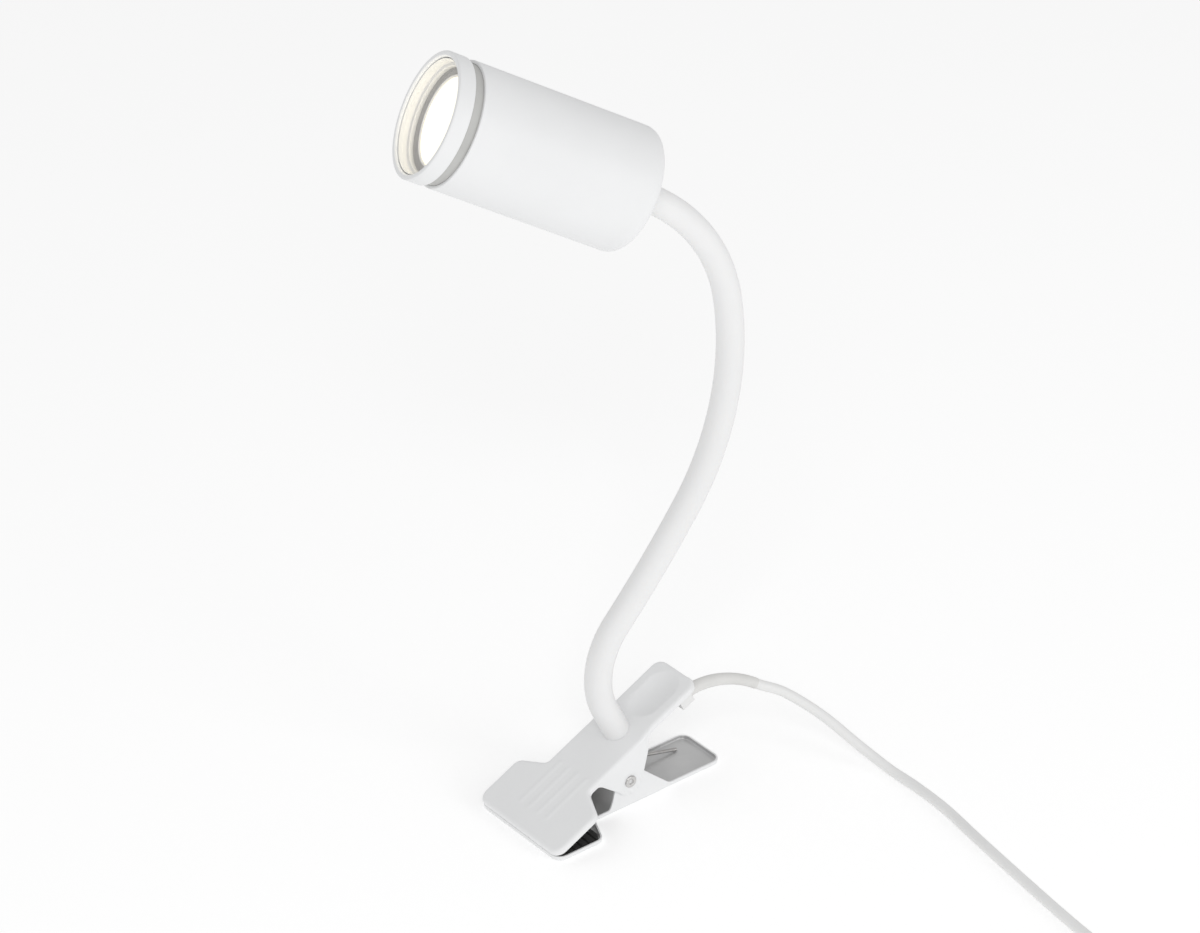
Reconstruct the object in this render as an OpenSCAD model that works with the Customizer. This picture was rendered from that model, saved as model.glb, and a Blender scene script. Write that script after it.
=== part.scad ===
// Clip-on reading lamp: a sprung steel clip, a bendable neck and a round spot head.
// Millimetres, +Z up. The origin is on the flat underside of the lower clip half,
// straight below the clip's pivot. +X runs from the jaws to the handles.

/* [Clip] */
// Distance from the pivot to the tips of the jaws
jaw_reach = 51.5; // [48.5:0.5:60]
// Distance from the pivot to the end of the upper handle
handle_reach = 51; // [46:1:62]
// How much further the lower handle reaches
lower_reach = 4; // [0:0.5:6]
// Width across the jaws
jaw_w = 57; // [44:1:68]
// Length of the wide part of each jaw
jaw_len = 25.5; // [20:0.5:28]
// Length of the slanted shoulder behind each jaw
shoulder_len = 6.5; // [3:0.5:8]
// Width of the upper half between its jaw and its handle
body_w = 30; // [28:1:36]
// Width of both handles
handle_w = 27; // [24:1:28]
// Thickness of the pressed steel sheet
sheet_t = 1; // [0.8:0.1:1.2]
// Depth of the rim turned down round each half
rim_h = 2.7; // [2:0.1:2.8]
// Distance from the pivot to the outer face of each half
pivot_h = 14.7; // [14:0.1:18]
// Radius of the corners seen from above
corner_r = 5; // [3:0.5:6]
// Radius of the rounded ear round the pivot
ear_r = 7; // [6:0.5:8]
// Thickness of the rubber pad in each jaw
pad_t = 2; // [1.7:0.1:2.2]
// Free gap between the two pads when the clip is shut
pad_gap = 0.35; // [0.2:0.05:0.6]

/* [Pivot and spring] */
// Radius of the rivet's shank
rivet_r = 2.2; // [1.8:0.1:2.6]
// Radius of the hole through the hollow rivet
rivet_bore_r = 1.2; // [0.8:0.1:1.4]
// Radius of the rivet's heads
rivet_head_r = 3; // [2.8:0.1:4]
// Thickness of the rivet's heads
rivet_head_t = 0.8; // [0.6:0.1:1.2]
// Mean radius of the spring's turns
spring_r = 5; // [4.6:0.1:5.4]
// Thickness of the spring wire
spring_wire = 1.6; // [1.2:0.1:1.8]
// Number of whole turns in the spring
spring_turns = 10; // [6:1:11]
// Distance along the lower handle at which the spring's lower leg ends
spring_lower_leg = 44; // [30:1:46]
// Distance along the upper handle at which the spring's upper leg ends
spring_upper_leg = 27; // [22:1:30]

/* [Neck] */
// Outer diameter of the neck's sleeve
neck_d = 12.5; // [11.5:0.1:14]
// Wall thickness of the sleeve
sleeve_t = 1.4; // [1:0.1:1.8]
// Radius of the hole through the bendable steel core
core_bore_r = 2.9; // [2.6:0.1:3.2]
// Gap left in the core at each bending place
core_gap = 2.4; // [2.3:0.1:3]
// Distance along the upper half from the pivot to the neck
neck_seat = 11.5; // [10:0.5:14]

/* [Head] */
// Outer diameter of the head
head_d = 56; // [54:1:68]
// Length of the head from its closed end to its rim
head_len = 101; // [98:1:125]
// Radius of the edge at the closed end
head_corner_r = 5.5; // [5:0.5:10]
// Wall thickness of the head
head_wall = 1.5; // [1:0.1:2]
// Length of the front ring
ring_len = 7.6; // [7:0.2:10]
// Width of the groove behind the front ring
groove_w = 4.4; // [3:0.2:6]
// Depth of the groove behind the front ring
groove_depth = 1.55; // [1.55:0.05:2.4]

/* [Lamp] */
// Diameter of the lamp's front
lamp_d = 49.4; // [45:0.1:49.6]
// Distance from the head's rim to the front of the lamp
lamp_depth = 7.6; // [6.8:0.2:10]
// Radius of the glowing lens
lens_r = 19.4; // [16:0.1:19.6]
// Distance between the lamp's two pins
pin_pitch = 10; // [9:0.5:11]

/* [Cord] */
// Diameter of the cord
cord_d = 4.8; // [4:0.1:5]
// Outer diameter of the cord's guard
guard_d = 5.8; // [5.6:0.1:6.4]
// Mean radius of the wound-up coil
coil_r = 27.5; // [24:0.5:34]
// Thickness of the coil's bundle
coil_t = 14.4; // [10:0.2:18]

/* [Switch and plug] */
// Length of the cord switch
switch_len = 58; // [50:1:66]
// Width of the cord switch
switch_w = 24; // [20:1:30]
// Height of the cord switch
switch_h = 16; // [14:0.5:20]
// Travel of the rocker in degrees
rocker_travel = 14; // [10:1:16]
// Width of the plug's face
plug_w = 35; // [32:1:38]
// Thickness of the plug's body
plug_t = 13.6; // [12:0.2:16]
// Length of the plug's body
plug_len = 32; // [28:1:38]
// Distance between the plug's pins
plug_pitch = 19; // [18:0.2:20]

/* [Hidden] */

$fn = 64;
white = "whitesmoke";
steel = "silver";
rubber = "#222222";
slack = 0.05;      // radial clearance of a fit
face_gap = 0.05;   // clearance between faces that meet across a joint
z_axis = [0, 0, 1];
y_axis = [0, 1, 0];

// Angle between the two halves when the clip is shut: the pads then meet at the tips.
pad_top = sheet_t + pad_t;
pad_tip = jaw_reach - sheet_t - 0.3;
shut_angle = 2 * atan((pivot_h - pad_top - pad_gap / 2) / pad_tip);
pivot = [0, 0, pivot_h];
lower_body_w = body_w - 2 * sheet_t - 0.4;
jaw_end = jaw_reach - jaw_len;
body_start = jaw_end - shoulder_len;

spring_toe = 6;    // how far off the middle the lower leg ends

// Ear profile, measured from the pivot
ear_front = 12.5;
ear_back = 21;

// Neck: one row for each segment, as [length, bend towards +x, roll of the bend plane]
neck_arcs = [
    [15, 0, 0],
    [45, 69.5, 0],
    [60, -6.5, 0],
    [101, -45, -6],
    [56, -44.5, -14],
    [17, -9, -16]
];
neck_r = neck_d / 2;
core_r = neck_r - sleeve_t - slack;
nipple_len = 8;    // how far a nipple reaches on each side of the wall that it holds
nut_t = 3;
nut_af = 13;
washer_r = 8;
washer_t = 0.8;

// Head, measured from its closed end along its axis
head_r = head_d / 2;
head_bore_r = head_r - head_wall;
ring_start = head_len - ring_len;
housing_len = ring_start - groove_w;
groove_r = head_r - groove_depth;
lamp_r = lamp_d / 2;
lamp_front = head_len - lamp_depth;
lamp_base_len = 14;
lamp_cup_len = 32;
lamp_base_r = 13;
lamp_base = lamp_front - lamp_cup_len - lamp_base_len;
lamp_pin_len = 7;
lamp_pin_r = 2.5;
socket_r = 14.5;
socket_t = 21;
socket_top = lamp_base - 0.2;
socket_bottom = socket_top - socket_t;
bracket_t = 1;
socket_screw_r = 1.5;
baffle_r = groove_r - 2.2;

// Cord guard: one row as for the neck, starting under the upper handle
guard_row = [42, 62, -35];
guard_start = [39, -8.5, pivot_h - sheet_t - guard_d / 2 - 0.15];
clamp_len = 7;
clamp_wall = 1.6;

// Route of the cord from its guard to the switch, chosen by hand
cord_route = [
    [80, -27, 35], [92.5, -38.5, 23.5], [102, -53, 11], [107, -69, 4], [108.5, -85, 2.5],
    [107, -106, 2.5], [102.5, -132, 2.5], [97, -166, 2.5], [92, -200, 2.5], [89, -228, 2.5],
    [87.5, -244, 4], [87.5, -255, 6]
];
cord_z = cord_d / 2 + 0.1;
switch_end = cord_route[len(cord_route) - 1];
switch_mid = switch_end + [0, -switch_len / 2, 0];
cord_port_z = switch_end[2];
rocker_len = 19;
rocker_w = 12;
rocker_pin_r = 1.25;
coil_in = switch_end + [0, -switch_len - 36, 0];
coil_mid = [coil_in[0] - coil_r - cord_d, coil_in[1], 0];
plug_rear = [coil_mid[0] - 40, coil_mid[1] - coil_r - cord_d, plug_t / 2];
plug_pin_r = 2;
plug_root_r = 1.6;
plug_pin_len = 19;
plug_pin_root = 8;

// ---------- helpers ----------

// Polygon points moved inwards by d; the points run anticlockwise as [x, y, corner radius].
function unit2(v) = v / norm(v);
function left_of(v) = [-v[1], v[0]];
function xy(p) = [p[0], p[1]];
function inset(pts, d) = [
    for (i = [0:len(pts) - 1])
        let (
            p = xy(pts[i]),
            a = left_of(unit2(p - xy(pts[(i + len(pts) - 1) % len(pts)]))),
            b = left_of(unit2(xy(pts[(i + 1) % len(pts)]) - p)),
            q = p + d * (a + b) / (1 + a * b),
            convex = a[0] * b[1] - a[1] * b[0] > 0
        )
        [q[0], q[1], max(0.2, pts[i][2] + (convex ? -d : d))]
];

// The same points with each corner replaced by an arc of its own radius.
function rounded(pts, steps = 6) = [
    for (i = [0:len(pts) - 1])
        let (
            p = xy(pts[i]),
            a = unit2(p - xy(pts[(i + len(pts) - 1) % len(pts)])),
            b = unit2(xy(pts[(i + 1) % len(pts)]) - p),
            turn = atan2(a[0] * b[1] - a[1] * b[0], a * b),
            reach = pts[i][2] * tan(abs(turn) / 2),
            side = turn > 0 ? 1 : -1,
            centre = p - a * reach + side * left_of(a) * pts[i][2]
        )
        for (k = [0:steps])
            let (t = turn * k / steps)
            centre - side * pts[i][2] * (cos(t) * left_of(a) - sin(t) * a)
];

// Rigid movements as 4 by 4 matrices
function shift(v) = [[1, 0, 0, v[0]], [0, 1, 0, v[1]], [0, 0, 1, v[2]], [0, 0, 0, 1]];
function turn_y(a) = [[cos(a), 0, sin(a), 0], [0, 1, 0, 0], [-sin(a), 0, cos(a), 0], [0, 0, 0, 1]];
function turn_z(a) = [[cos(a), -sin(a), 0, 0], [sin(a), cos(a), 0, 0], [0, 0, 1, 0], [0, 0, 0, 1]];
function point_at(m, p) = xyz(m * [p[0], p[1], p[2], 1]);
function xyz(v) = [v[0], v[1], v[2]];

// Movement along one bent row [length, bend, roll]: the row first rolls, then bends
function arc_radius(row) = row[1] == 0 ? 0 : row[0] / (row[1] * PI / 180);
function arc_step(row) = row[1] == 0
    ? turn_z(row[2]) * shift([0, 0, row[0]])
    : turn_z(row[2])
        * shift([arc_radius(row) * (1 - cos(row[1])), 0, arc_radius(row) * sin(row[1])])
        * turn_y(row[1]);
function frame_after(rows, count, start) = count == 0
    ? start
    : frame_after(rows, count - 1, start) * arc_step(rows[count - 1]);

// A ring-shaped bar along one bent row, with a little cut off at its start and end
module bent_bar(row, r, bore, cut_start = 0, cut_end = 0) {
    multmatrix(turn_z(row[2]))
    if (row[1] == 0) {
        translate([0, 0, cut_start]) difference() {
            cylinder(r = r, h = row[0] - cut_start - cut_end);
            if (bore > 0) translate([0, 0, -1]) cylinder(r = bore, h = row[0] + 2);
        }
    } else {
        radius = abs(arc_radius(row));
        per_mm = 180 / (PI * radius);
        mirror([row[1] > 0 ? 1 : 0, 0, 0])
        translate([-radius, 0, 0]) rotate([90, 0, 0])
        rotate([0, 0, cut_start * per_mm])
        rotate_extrude(angle = abs(row[1]) - (cut_start + cut_end) * per_mm)
        translate([radius, 0]) difference() {
            circle(r = r);
            if (bore > 0) circle(r = bore);
        }
    }
}

// A tube swept along points; ref is a direction that no stretch of it runs along
function unit3(v) = v / norm(v);
function tangent(p, i) = unit3(p[min(i + 1, len(p) - 1)] - p[max(i - 1, 0)]);
module swept_tube(p, r, ref = z_axis, sides = 12) {
    rings = [
        for (i = [0:len(p) - 1])
            let (t = tangent(p, i), s = unit3(cross(t, ref)), w = cross(s, t))
            for (k = [0:sides - 1])
                p[i] + r * (cos(360 * k / sides) * s + sin(360 * k / sides) * w)
    ];
    last = (len(p) - 1) * sides;
    walls = [
        for (i = [0:len(p) - 2], k = [0:sides - 1])
            [i * sides + k, (i + 1) * sides + k, (i + 1) * sides + (k + 1) % sides, i * sides + (k + 1) % sides]
    ];
    polyhedron(
        points = rings,
        faces = concat(walls, [[for (k = [0:sides - 1]) k]], [[for (k = [sides - 1:-1:0]) last + k]]),
        convexity = 10
    );
}

// A smooth curve through points, with given directions at its two ends
function curve_tangent(p, i, first, last) =
    i == 0 ? first : i == len(p) - 1 ? last : (p[i + 1] - p[i - 1]) / 2;
function smooth(p, first, last, steps = 5) = concat(
    [
        for (i = [0:len(p) - 2], k = [0:steps - 1])
            let (
                t = k / steps,
                a = curve_tangent(p, i, first, last),
                b = curve_tangent(p, i + 1, first, last)
            )
            (2 * t * t * t - 3 * t * t + 1) * p[i] + (t * t * t - 2 * t * t + t) * a
                + (3 * t * t - 2 * t * t * t) * p[i + 1] + (t * t * t - t * t) * b
    ],
    [p[len(p) - 1]]
);

module ring(r, bore, h, z = 0) {
    translate([0, 0, z]) difference() {
        cylinder(r = r, h = h);
        translate([0, 0, -1]) cylinder(r = bore, h = h + 2);
    }
}

module hex_nut(bore) {
    difference() {
        cylinder(r = nut_af / sqrt(3), h = nut_t, $fn = 6);
        translate([0, 0, -1]) cylinder(r = bore, h = nut_t + 2);
    }
}

// ---------- places ----------

// Places a half drawn flat on z = 0 as the upper half of the clip
upper_frame = shift(pivot) * turn_y(-shut_angle);
module on_upper() { multmatrix(upper_frame) translate([0, 0, pivot_h]) mirror([0, 0, 1]) children(); }

neck_start = upper_frame * shift([neck_seat, 0, pivot_h]);
head_frame = frame_after(neck_arcs, len(neck_arcs), neck_start);
module on_neck() { multmatrix(neck_start) children(); }
module on_head() { multmatrix(head_frame) children(); }

guard_frame = upper_frame * shift(guard_start) * turn_y(90);
guard_end = guard_frame * arc_step(guard_row);
guard_tip = point_at(guard_end, [0, 0, 0]);
guard_way = point_at(guard_end, [0, 0, 1]) - guard_tip;

// ---------- clip ----------

function half_outline(width, reach) = [
    [-jaw_reach, -jaw_w / 2, corner_r],
    [-jaw_end, -jaw_w / 2, corner_r],
    [-body_start, -width / 2, 3],
    [14, -width / 2, 10],
    [22, -handle_w / 2, 10],
    [reach, -handle_w / 2, corner_r],
    [reach, handle_w / 2, corner_r],
    [22, handle_w / 2, 10],
    [14, width / 2, 10],
    [-body_start, width / 2, 3],
    [-jaw_end, jaw_w / 2, corner_r],
    [-jaw_reach, jaw_w / 2, corner_r]
];

module clip_tray(width, reach) {
    linear_extrude(sheet_t) polygon(rounded(half_outline(width, reach)));
    linear_extrude(rim_h) difference() {
        polygon(rounded(half_outline(width, reach)));
        polygon(rounded(inset(half_outline(width, reach), sheet_t)));
    }
}

// One ear standing on the tray, seen from the side, with the pivot's hole
module clip_ear(y, hole_r) {
    base = -(pivot_h - rim_h + 1);
    translate([0, y + sheet_t / 2, pivot_h]) rotate([90, 0, 0]) difference() {
        linear_extrude(sheet_t) union() {
            circle(r = ear_r);
            polygon([
                [-ear_front, base], [ear_back, base],
                [ear_r * cos(38), ear_r * sin(38)], [-ear_r * cos(12), ear_r * sin(12)]
            ]);
        }
        translate([0, 0, -1]) cylinder(r = hole_r, h = sheet_t + 2);
    }
}

module clip_half(width, reach, hole_r) {
    clip_tray(width, reach);
    for (side = [-1, 1]) clip_ear(side * (width - sheet_t) / 2, hole_r);
}

// The long thumb dent of the upper handle; grow gives the bulge on its inner side
dent_mid = 35;
dent_len = 26;
dent_w = 16;
dent_depth = 1.8;
dent_r = (dent_w * dent_w / 4 + dent_depth * dent_depth) / (2 * dent_depth);
module thumb_dent(grow) {
    straight = dent_len - dent_w;
    translate([dent_mid, 0, dent_depth - dent_r]) {
        for (end = [-1, 1]) translate([end * straight / 2, 0, 0]) sphere(r = dent_r + grow, $fn = 128);
        rotate([0, 90, 0]) cylinder(r = dent_r + grow, h = straight, center = true, $fn = 128);
    }
}

// Four shallow pressed ribs on the outer face of the upper half
module pressed_ribs() {
    rib_r = 1.4;
    rib_proud = 0.35;
    for (y = [-9, -3, 3, 9]) translate([-28, y, rib_r - rib_proud]) intersection() {
        union() {
            rotate([0, 90, 0]) cylinder(r = rib_r, h = 24, center = true);
            for (end = [-12, 12]) translate([end, 0, 0]) sphere(r = rib_r);
        }
        translate([-15, -5, -5]) cube([30, 10, 5 - rib_r + rib_proud + sheet_t / 2]);
    }
}

module lower_clip_half() {
    color(white) clip_half(lower_body_w, handle_reach + lower_reach, rivet_r + slack / 2);
}

module upper_clip_half() {
    color(white) on_upper() difference() {
        union() {
            clip_half(body_w, handle_reach, rivet_r + slack);
            pressed_ribs();
            intersection() {
                thumb_dent(sheet_t);
                translate([0, -handle_w / 2, sheet_t / 2]) cube([handle_reach, handle_w, 5]);
            }
        }
        thumb_dent(0);
        translate([neck_seat, 0, -1]) cylinder(r = core_r + slack, h = 4);
        translate([handle_reach - 2, guard_start[1], pivot_h - guard_start[2]])
            rotate([0, 90, 0]) cylinder(r = guard_d / 2 + 0.7, h = 4);
    }
}

module jaw_pad() {
    edge = sheet_t + 0.2;
    difference() {
        linear_extrude(pad_t) polygon(rounded(inset([
            [-jaw_reach, -jaw_w / 2, corner_r], [-jaw_end + 1, -jaw_w / 2, corner_r],
            [-jaw_end + 1, jaw_w / 2, corner_r], [-jaw_reach, jaw_w / 2, corner_r]
        ], edge)));
        for (x = [-jaw_reach + 6:4:-jaw_end - 3])
            translate([x, 0, pad_t]) rotate([90, 0, 0]) cylinder(r = 0.6, h = jaw_w, center = true);
    }
}
module lower_jaw_pad() { color(rubber) translate([0, 0, sheet_t]) jaw_pad(); }
module upper_jaw_pad() { color(rubber) on_upper() translate([0, 0, sheet_t]) jaw_pad(); }

module pivot_rivet() {
    half = body_w / 2 + slack;
    color(steel) translate(pivot) rotate([90, 0, 0]) difference() {
        union() {
            cylinder(r = rivet_r, h = 2 * half, center = true);
            for (side = [-1, 1]) translate([0, 0, side * (half + rivet_head_t / 2)])
                cylinder(r = rivet_head_r, h = rivet_head_t, center = true);
        }
        cylinder(r = rivet_bore_r, h = 3 * half, center = true);
    }
}

spacer_r = rivet_r + 1;
module pivot_spacer() {
    inner = lower_body_w - 2 * sheet_t - 2 * face_gap;
    color(steel) translate(pivot) rotate([90, 0, 0]) difference() {
        cylinder(r = spacer_r, h = inner, center = true);
        cylinder(r = rivet_r + slack, h = inner + 2, center = true);
    }
}

// Spring wire: a leg along the lower handle, the turns, and a leg along the upper handle
module torsion_spring() {
    half = lower_body_w / 2 - sheet_t - spring_wire / 2 - 0.6;
    seat = pivot_h - sheet_t - spring_wire / 2 - 0.1;
    start = -atan2(seat, spring_lower_leg) - acos(spring_r / norm([spring_lower_leg, seat]));
    finish = shut_angle + atan2(seat, spring_upper_leg) + acos(spring_r / norm([spring_upper_leg, seat]));
    sweep = finish - start - 360 * (spring_turns + 1);
    steps = 16 * spring_turns;
    turns = [
        for (i = [0:steps])
            let (a = start + sweep * i / steps)
            [spring_r * cos(a), half - 2 * half * i / steps, spring_r * sin(a)]
    ];
    upper_tip = [
        spring_upper_leg * cos(shut_angle) - seat * sin(shut_angle), -half,
        spring_upper_leg * sin(shut_angle) + seat * cos(shut_angle)
    ];
    path = concat([[spring_lower_leg, spring_toe, -seat]], turns, [upper_tip]);
    color(steel) translate(pivot) swept_tube(path, spring_wire / 2, y_axis, 8);
}

// ---------- neck ----------

neck_last = len(neck_arcs) - 1;

// Draws one segment of the neck, cut back by gap_start and gap_end at its ends
module neck_segment(segment, r, bore, gap_start, gap_end) {
    multmatrix(frame_after(neck_arcs, segment, neck_start))
        bent_bar(neck_arcs[segment], r, bore, gap_start, gap_end);
}

module neck_core(segment) {
    color(steel) neck_segment(
        segment, core_r, core_bore_r,
        segment == 0 ? nipple_len + face_gap : core_gap / 2,
        segment == neck_last ? nipple_len + 0.6 : core_gap / 2
    );
}

module neck_sleeve(segment) {
    color(white) neck_segment(segment, neck_r, neck_r - sleeve_t, face_gap, face_gap);
}

// Threaded tube through a wall, with its shoulder outside and its washer and nut inside
module nipple(inside, shoulder_r) {
    difference() {
        union() {
            translate([0, 0, -inside]) cylinder(r = core_r, h = inside + 0.1);
            cylinder(r = shoulder_r, h = nipple_len);
        }
        translate([0, 0, -inside - 1]) cylinder(r = core_bore_r, h = inside + nipple_len + 2);
    }
}
neck_inside = sheet_t + washer_t + nut_t + 0.6;
module neck_nipple() { color(steel) on_neck() nipple(neck_inside, core_r); }
module neck_washer() {
    color(steel) on_neck() ring(washer_r, core_r + slack, washer_t, -sheet_t - washer_t);
}
module neck_nut() {
    color(steel) on_neck() translate([0, 0, -sheet_t - washer_t - nut_t]) hex_nut(core_r + slack);
}

// ---------- head ----------

module head_nipple() {
    color(steel) on_head() mirror([0, 0, 1]) nipple(neck_inside + head_wall, core_r - 0.35);
}
module head_washer() {
    color(steel) on_head() ring(washer_r, core_r + slack, washer_t, head_wall + bracket_t);
}
module head_nut() {
    color(steel) on_head() translate([0, 0, head_wall + bracket_t + washer_t]) hex_nut(core_r + slack);
}

// Profile of a round can with one rounded edge
module can_profile(r, l, corner) {
    square([r - corner, l]);
    translate([0, corner]) square([r, l - corner]);
    translate([r - corner, corner]) circle(r = corner);
}

module head_housing() {
    color(white) on_head() rotate_extrude($fn = 128) difference() {
        can_profile(head_r, housing_len, head_corner_r);
        translate([0, head_wall]) can_profile(head_bore_r, housing_len, head_corner_r - head_wall);
        translate([0, -1]) square([core_r + slack, 4 + head_wall]);
    }
}

// Grey sleeve that joins the housing to the front ring and shows in the groove
sleeve_in = 12;
sleeve_out = 4;
module joining_sleeve() {
    color("gainsboro") on_head() ring(
        groove_r, groove_r - 1.2, sleeve_in + groove_w + sleeve_out, housing_len - sleeve_in
    );
}

module front_ring() {
    lip_r = head_r - 2;
    color(white) on_head() rotate_extrude($fn = 128) translate([0, ring_start]) difference() {
        square([head_r, ring_len]);
        translate([0, -1]) square([groove_r + slack, sleeve_out + 1.1]);
        translate([0, -2]) square([baffle_r + 1.2, ring_len + 4]);
        translate([0, ring_len]) polygon([[0, 0.01], [lip_r, 0.01], [baffle_r + 1.2, -0.8], [0, -0.8]]);
    }
}

// Stepped white ring that hides the lamp's edge
module lamp_baffle() {
    top = head_len - 1.4;
    bottom = lamp_front + 0.1;
    r = baffle_r + 0.9;
    color(white) on_head() rotate_extrude($fn = 128) difference() {
        translate([0, bottom]) square([r, top - bottom]);
        translate([0, bottom - 1]) square([lamp_r - 1.6, top - bottom + 2]);
        translate([0, bottom + 2.2]) square([lamp_r - 0.2, top - bottom]);
        translate([0, top]) polygon([[0, 0.01], [r - 0.2, 0.01], [lamp_r - 0.2, -1.6], [0, -1.6]]);
    }
}

bracket_r = socket_r + 0.2;
module socket_bracket() {
    leg_w = 12;
    leg_top = socket_bottom + 9;
    color(steel) on_head() difference() {
        union() {
            translate([0, 0, head_wall]) cylinder(r = bracket_r + bracket_t, h = bracket_t);
            for (side = [0, 180]) rotate([0, 0, side])
                translate([bracket_r, -leg_w / 2, head_wall]) cube([bracket_t, leg_w, leg_top - head_wall]);
        }
        translate([0, 0, head_wall - 1]) cylinder(r = core_r + slack, h = 4);
        translate([0, 0, socket_bottom + 5]) rotate([0, 90, 0])
            cylinder(r = socket_screw_r + slack, h = 60, center = true);
    }
}

module lamp_socket() {
    color("ivory") on_head() difference() {
        translate([0, 0, socket_bottom]) cylinder(r = socket_r, h = socket_t);
        for (side = [-1, 1]) translate([side * pin_pitch / 2, 0, socket_top - lamp_pin_len - 1])
            cylinder(r = lamp_pin_r + 0.3, h = 20);
        translate([0, 0, socket_bottom + 5]) rotate([0, 90, 0])
            cylinder(r = socket_screw_r + slack, h = 60, center = true);
    }
}

module socket_screws() {
    deep = 6;
    color(steel) on_head() for (side = [0, 180]) rotate([0, 0, side])
        translate([0, 0, socket_bottom + 5]) rotate([0, 90, 0]) {
            translate([0, 0, bracket_r - deep]) cylinder(r = socket_screw_r, h = deep + bracket_t);
            translate([0, 0, bracket_r + bracket_t]) cylinder(r = 2.7, h = 1.8);
        }
}

// Two conductors from the neck's end to the back of the socket
module head_wires() {
    wire_r = 0.9;
    bend = neck_inside + head_wall + 2;
    color("peru") on_head() for (side = [-1, 1]) swept_tube([
        [side * 1.2, 0, -nipple_len], [side * 1.2, 0, bend],
        [side * pin_pitch * 0.4, 0, socket_bottom - 3], [side * pin_pitch * 0.4, 0, socket_bottom - 0.1]
    ], wire_r, y_axis, 10);
}

// ---------- lamp ----------

trough_depth = 2;
module lamp_body() {
    color("lightgray") on_head() difference() {
        union() {
            translate([0, 0, lamp_front - 6]) cylinder(r = lamp_r, h = 6);
            translate([0, 0, lamp_front - lamp_cup_len])
                cylinder(r1 = lamp_base_r + 1.5, r2 = lamp_r, h = lamp_cup_len - 6);
            translate([0, 0, lamp_base]) cylinder(r = lamp_base_r, h = lamp_base_len + 1);
        }
        translate([0, 0, lamp_front - trough_depth]) cylinder(r = lamp_r - 1.2, h = 10);
        for (side = [-1, 1]) translate([side * pin_pitch / 2, 0, lamp_base - 1])
            cylinder(r = lamp_pin_r - 1 + slack, h = 6);
    }
}
module lamp_lens() {
    color("lightyellow") on_head()
        translate([0, 0, lamp_front - trough_depth]) cylinder(r = lens_r, h = trough_depth - 0.8);
}
module lens_ring() {
    color(white) on_head() ring(lens_r + 0.9, lens_r + slack, trough_depth - 0.4, lamp_front - trough_depth);
}
module lamp_pins() {
    color(steel) on_head() for (side = [-1, 1]) translate([side * pin_pitch / 2, 0, lamp_base]) {
        translate([0, 0, -lamp_pin_len + 3]) cylinder(r = lamp_pin_r - 1, h = lamp_pin_len + 1);
        translate([0, 0, -lamp_pin_len]) cylinder(r = lamp_pin_r, h = 3);
    }
}

// ---------- cord ----------

module guard_bar(r, bore) { multmatrix(guard_frame) bent_bar(guard_row, r, bore); }
module cord_guard() { color("gainsboro") guard_bar(guard_d / 2, cord_d / 2); }

// Saddle under the upper handle that the guard passes through
module cord_clamp() {
    deep = guard_d / 2 + 0.05;
    side = guard_d / 2 + 0.9;
    color(white) difference() {
        multmatrix(upper_frame) translate(guard_start + [0.5, -side, -deep - clamp_wall])
            cube([clamp_len, 2 * side, 2 * deep + clamp_wall]);
        guard_bar(guard_d / 2 + slack, 0);
        on_upper() thumb_dent(sheet_t + 0.2);
    }
}

module cord_run() {
    path = smooth(concat([guard_tip], cord_route), guard_way * 14, [0, -11, 1.5]);
    color(white) swept_tube(path, cord_d / 2);
}
module cord_link() {
    a = switch_end + [0, -switch_len, 0];
    b = [coil_in[0], coil_in[1], cord_z + 1];
    color(white) swept_tube(smooth([a, b], [0, -36, 0], [0, -36, 0], 8), cord_d / 2);
}
module cord_coil() {
    color(white) translate(coil_mid) rotate_extrude($fn = 96) translate([coil_r, coil_t / 2 + 0.1]) {
        edge = 4;
        square([coil_t, coil_t - 2 * edge], center = true);
        square([coil_t - 2 * edge, coil_t], center = true);
        for (x = [-1, 1], y = [-1, 1]) translate([x, y] * (coil_t / 2 - edge)) circle(r = edge);
    }
}
module coil_tie() {
    tie_w = 9;
    tie_t = 1;
    bow = 0.8;    // room for the curve of the coil within the tie's width
    color(rubber) translate(coil_mid + [-coil_r, -tie_w / 2, 0]) difference() {
        translate([-coil_t / 2 - tie_t - bow, 0, 0.1]) cube([coil_t + 2 * (tie_t + bow), tie_w, coil_t + tie_t]);
        translate([-coil_t / 2 - bow, -1, 0]) cube([coil_t + 2 * bow, tie_w + 2, coil_t + 0.1 + slack]);
    }
}
module cord_tail() {
    a = [coil_mid[0], plug_rear[1], coil_t - 4];
    color(white) swept_tube(smooth([a, plug_rear], [-40, 0, 0], [-40, 0, 0], 8), cord_d / 2);
}

// ---------- switch ----------

switch_split = 8;
module switch_shell(z0, z1) {
    translate(switch_mid + [0, 0, z0 - cord_port_z]) linear_extrude(z1 - z0) polygon(rounded([
        [-switch_w / 2, -switch_len / 2, 6], [switch_w / 2, -switch_len / 2, 6],
        [switch_w / 2, switch_len / 2, 6], [-switch_w / 2, switch_len / 2, 6]
    ]));
}
module switch_hollow(z0, z1) {
    wall = 1.6;
    room = [switch_w - 2 * wall, switch_len - 30, z1 - z0];
    translate(switch_mid + [0, 0, (z0 + z1) / 2 - cord_port_z]) cube(room, center = true);
}
module switch_ports() {
    for (end = [-1, 1]) translate(switch_mid + [0, end * (switch_len / 2 - 4), 0])
        rotate([90, 0, 0]) cylinder(r = cord_d / 2 + slack, h = 12, center = true);
}
module switch_screw_places() {
    for (end = [-1, 1]) translate(switch_mid + [7, end * (switch_len / 2 - 8), -cord_port_z]) children();
}
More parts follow.
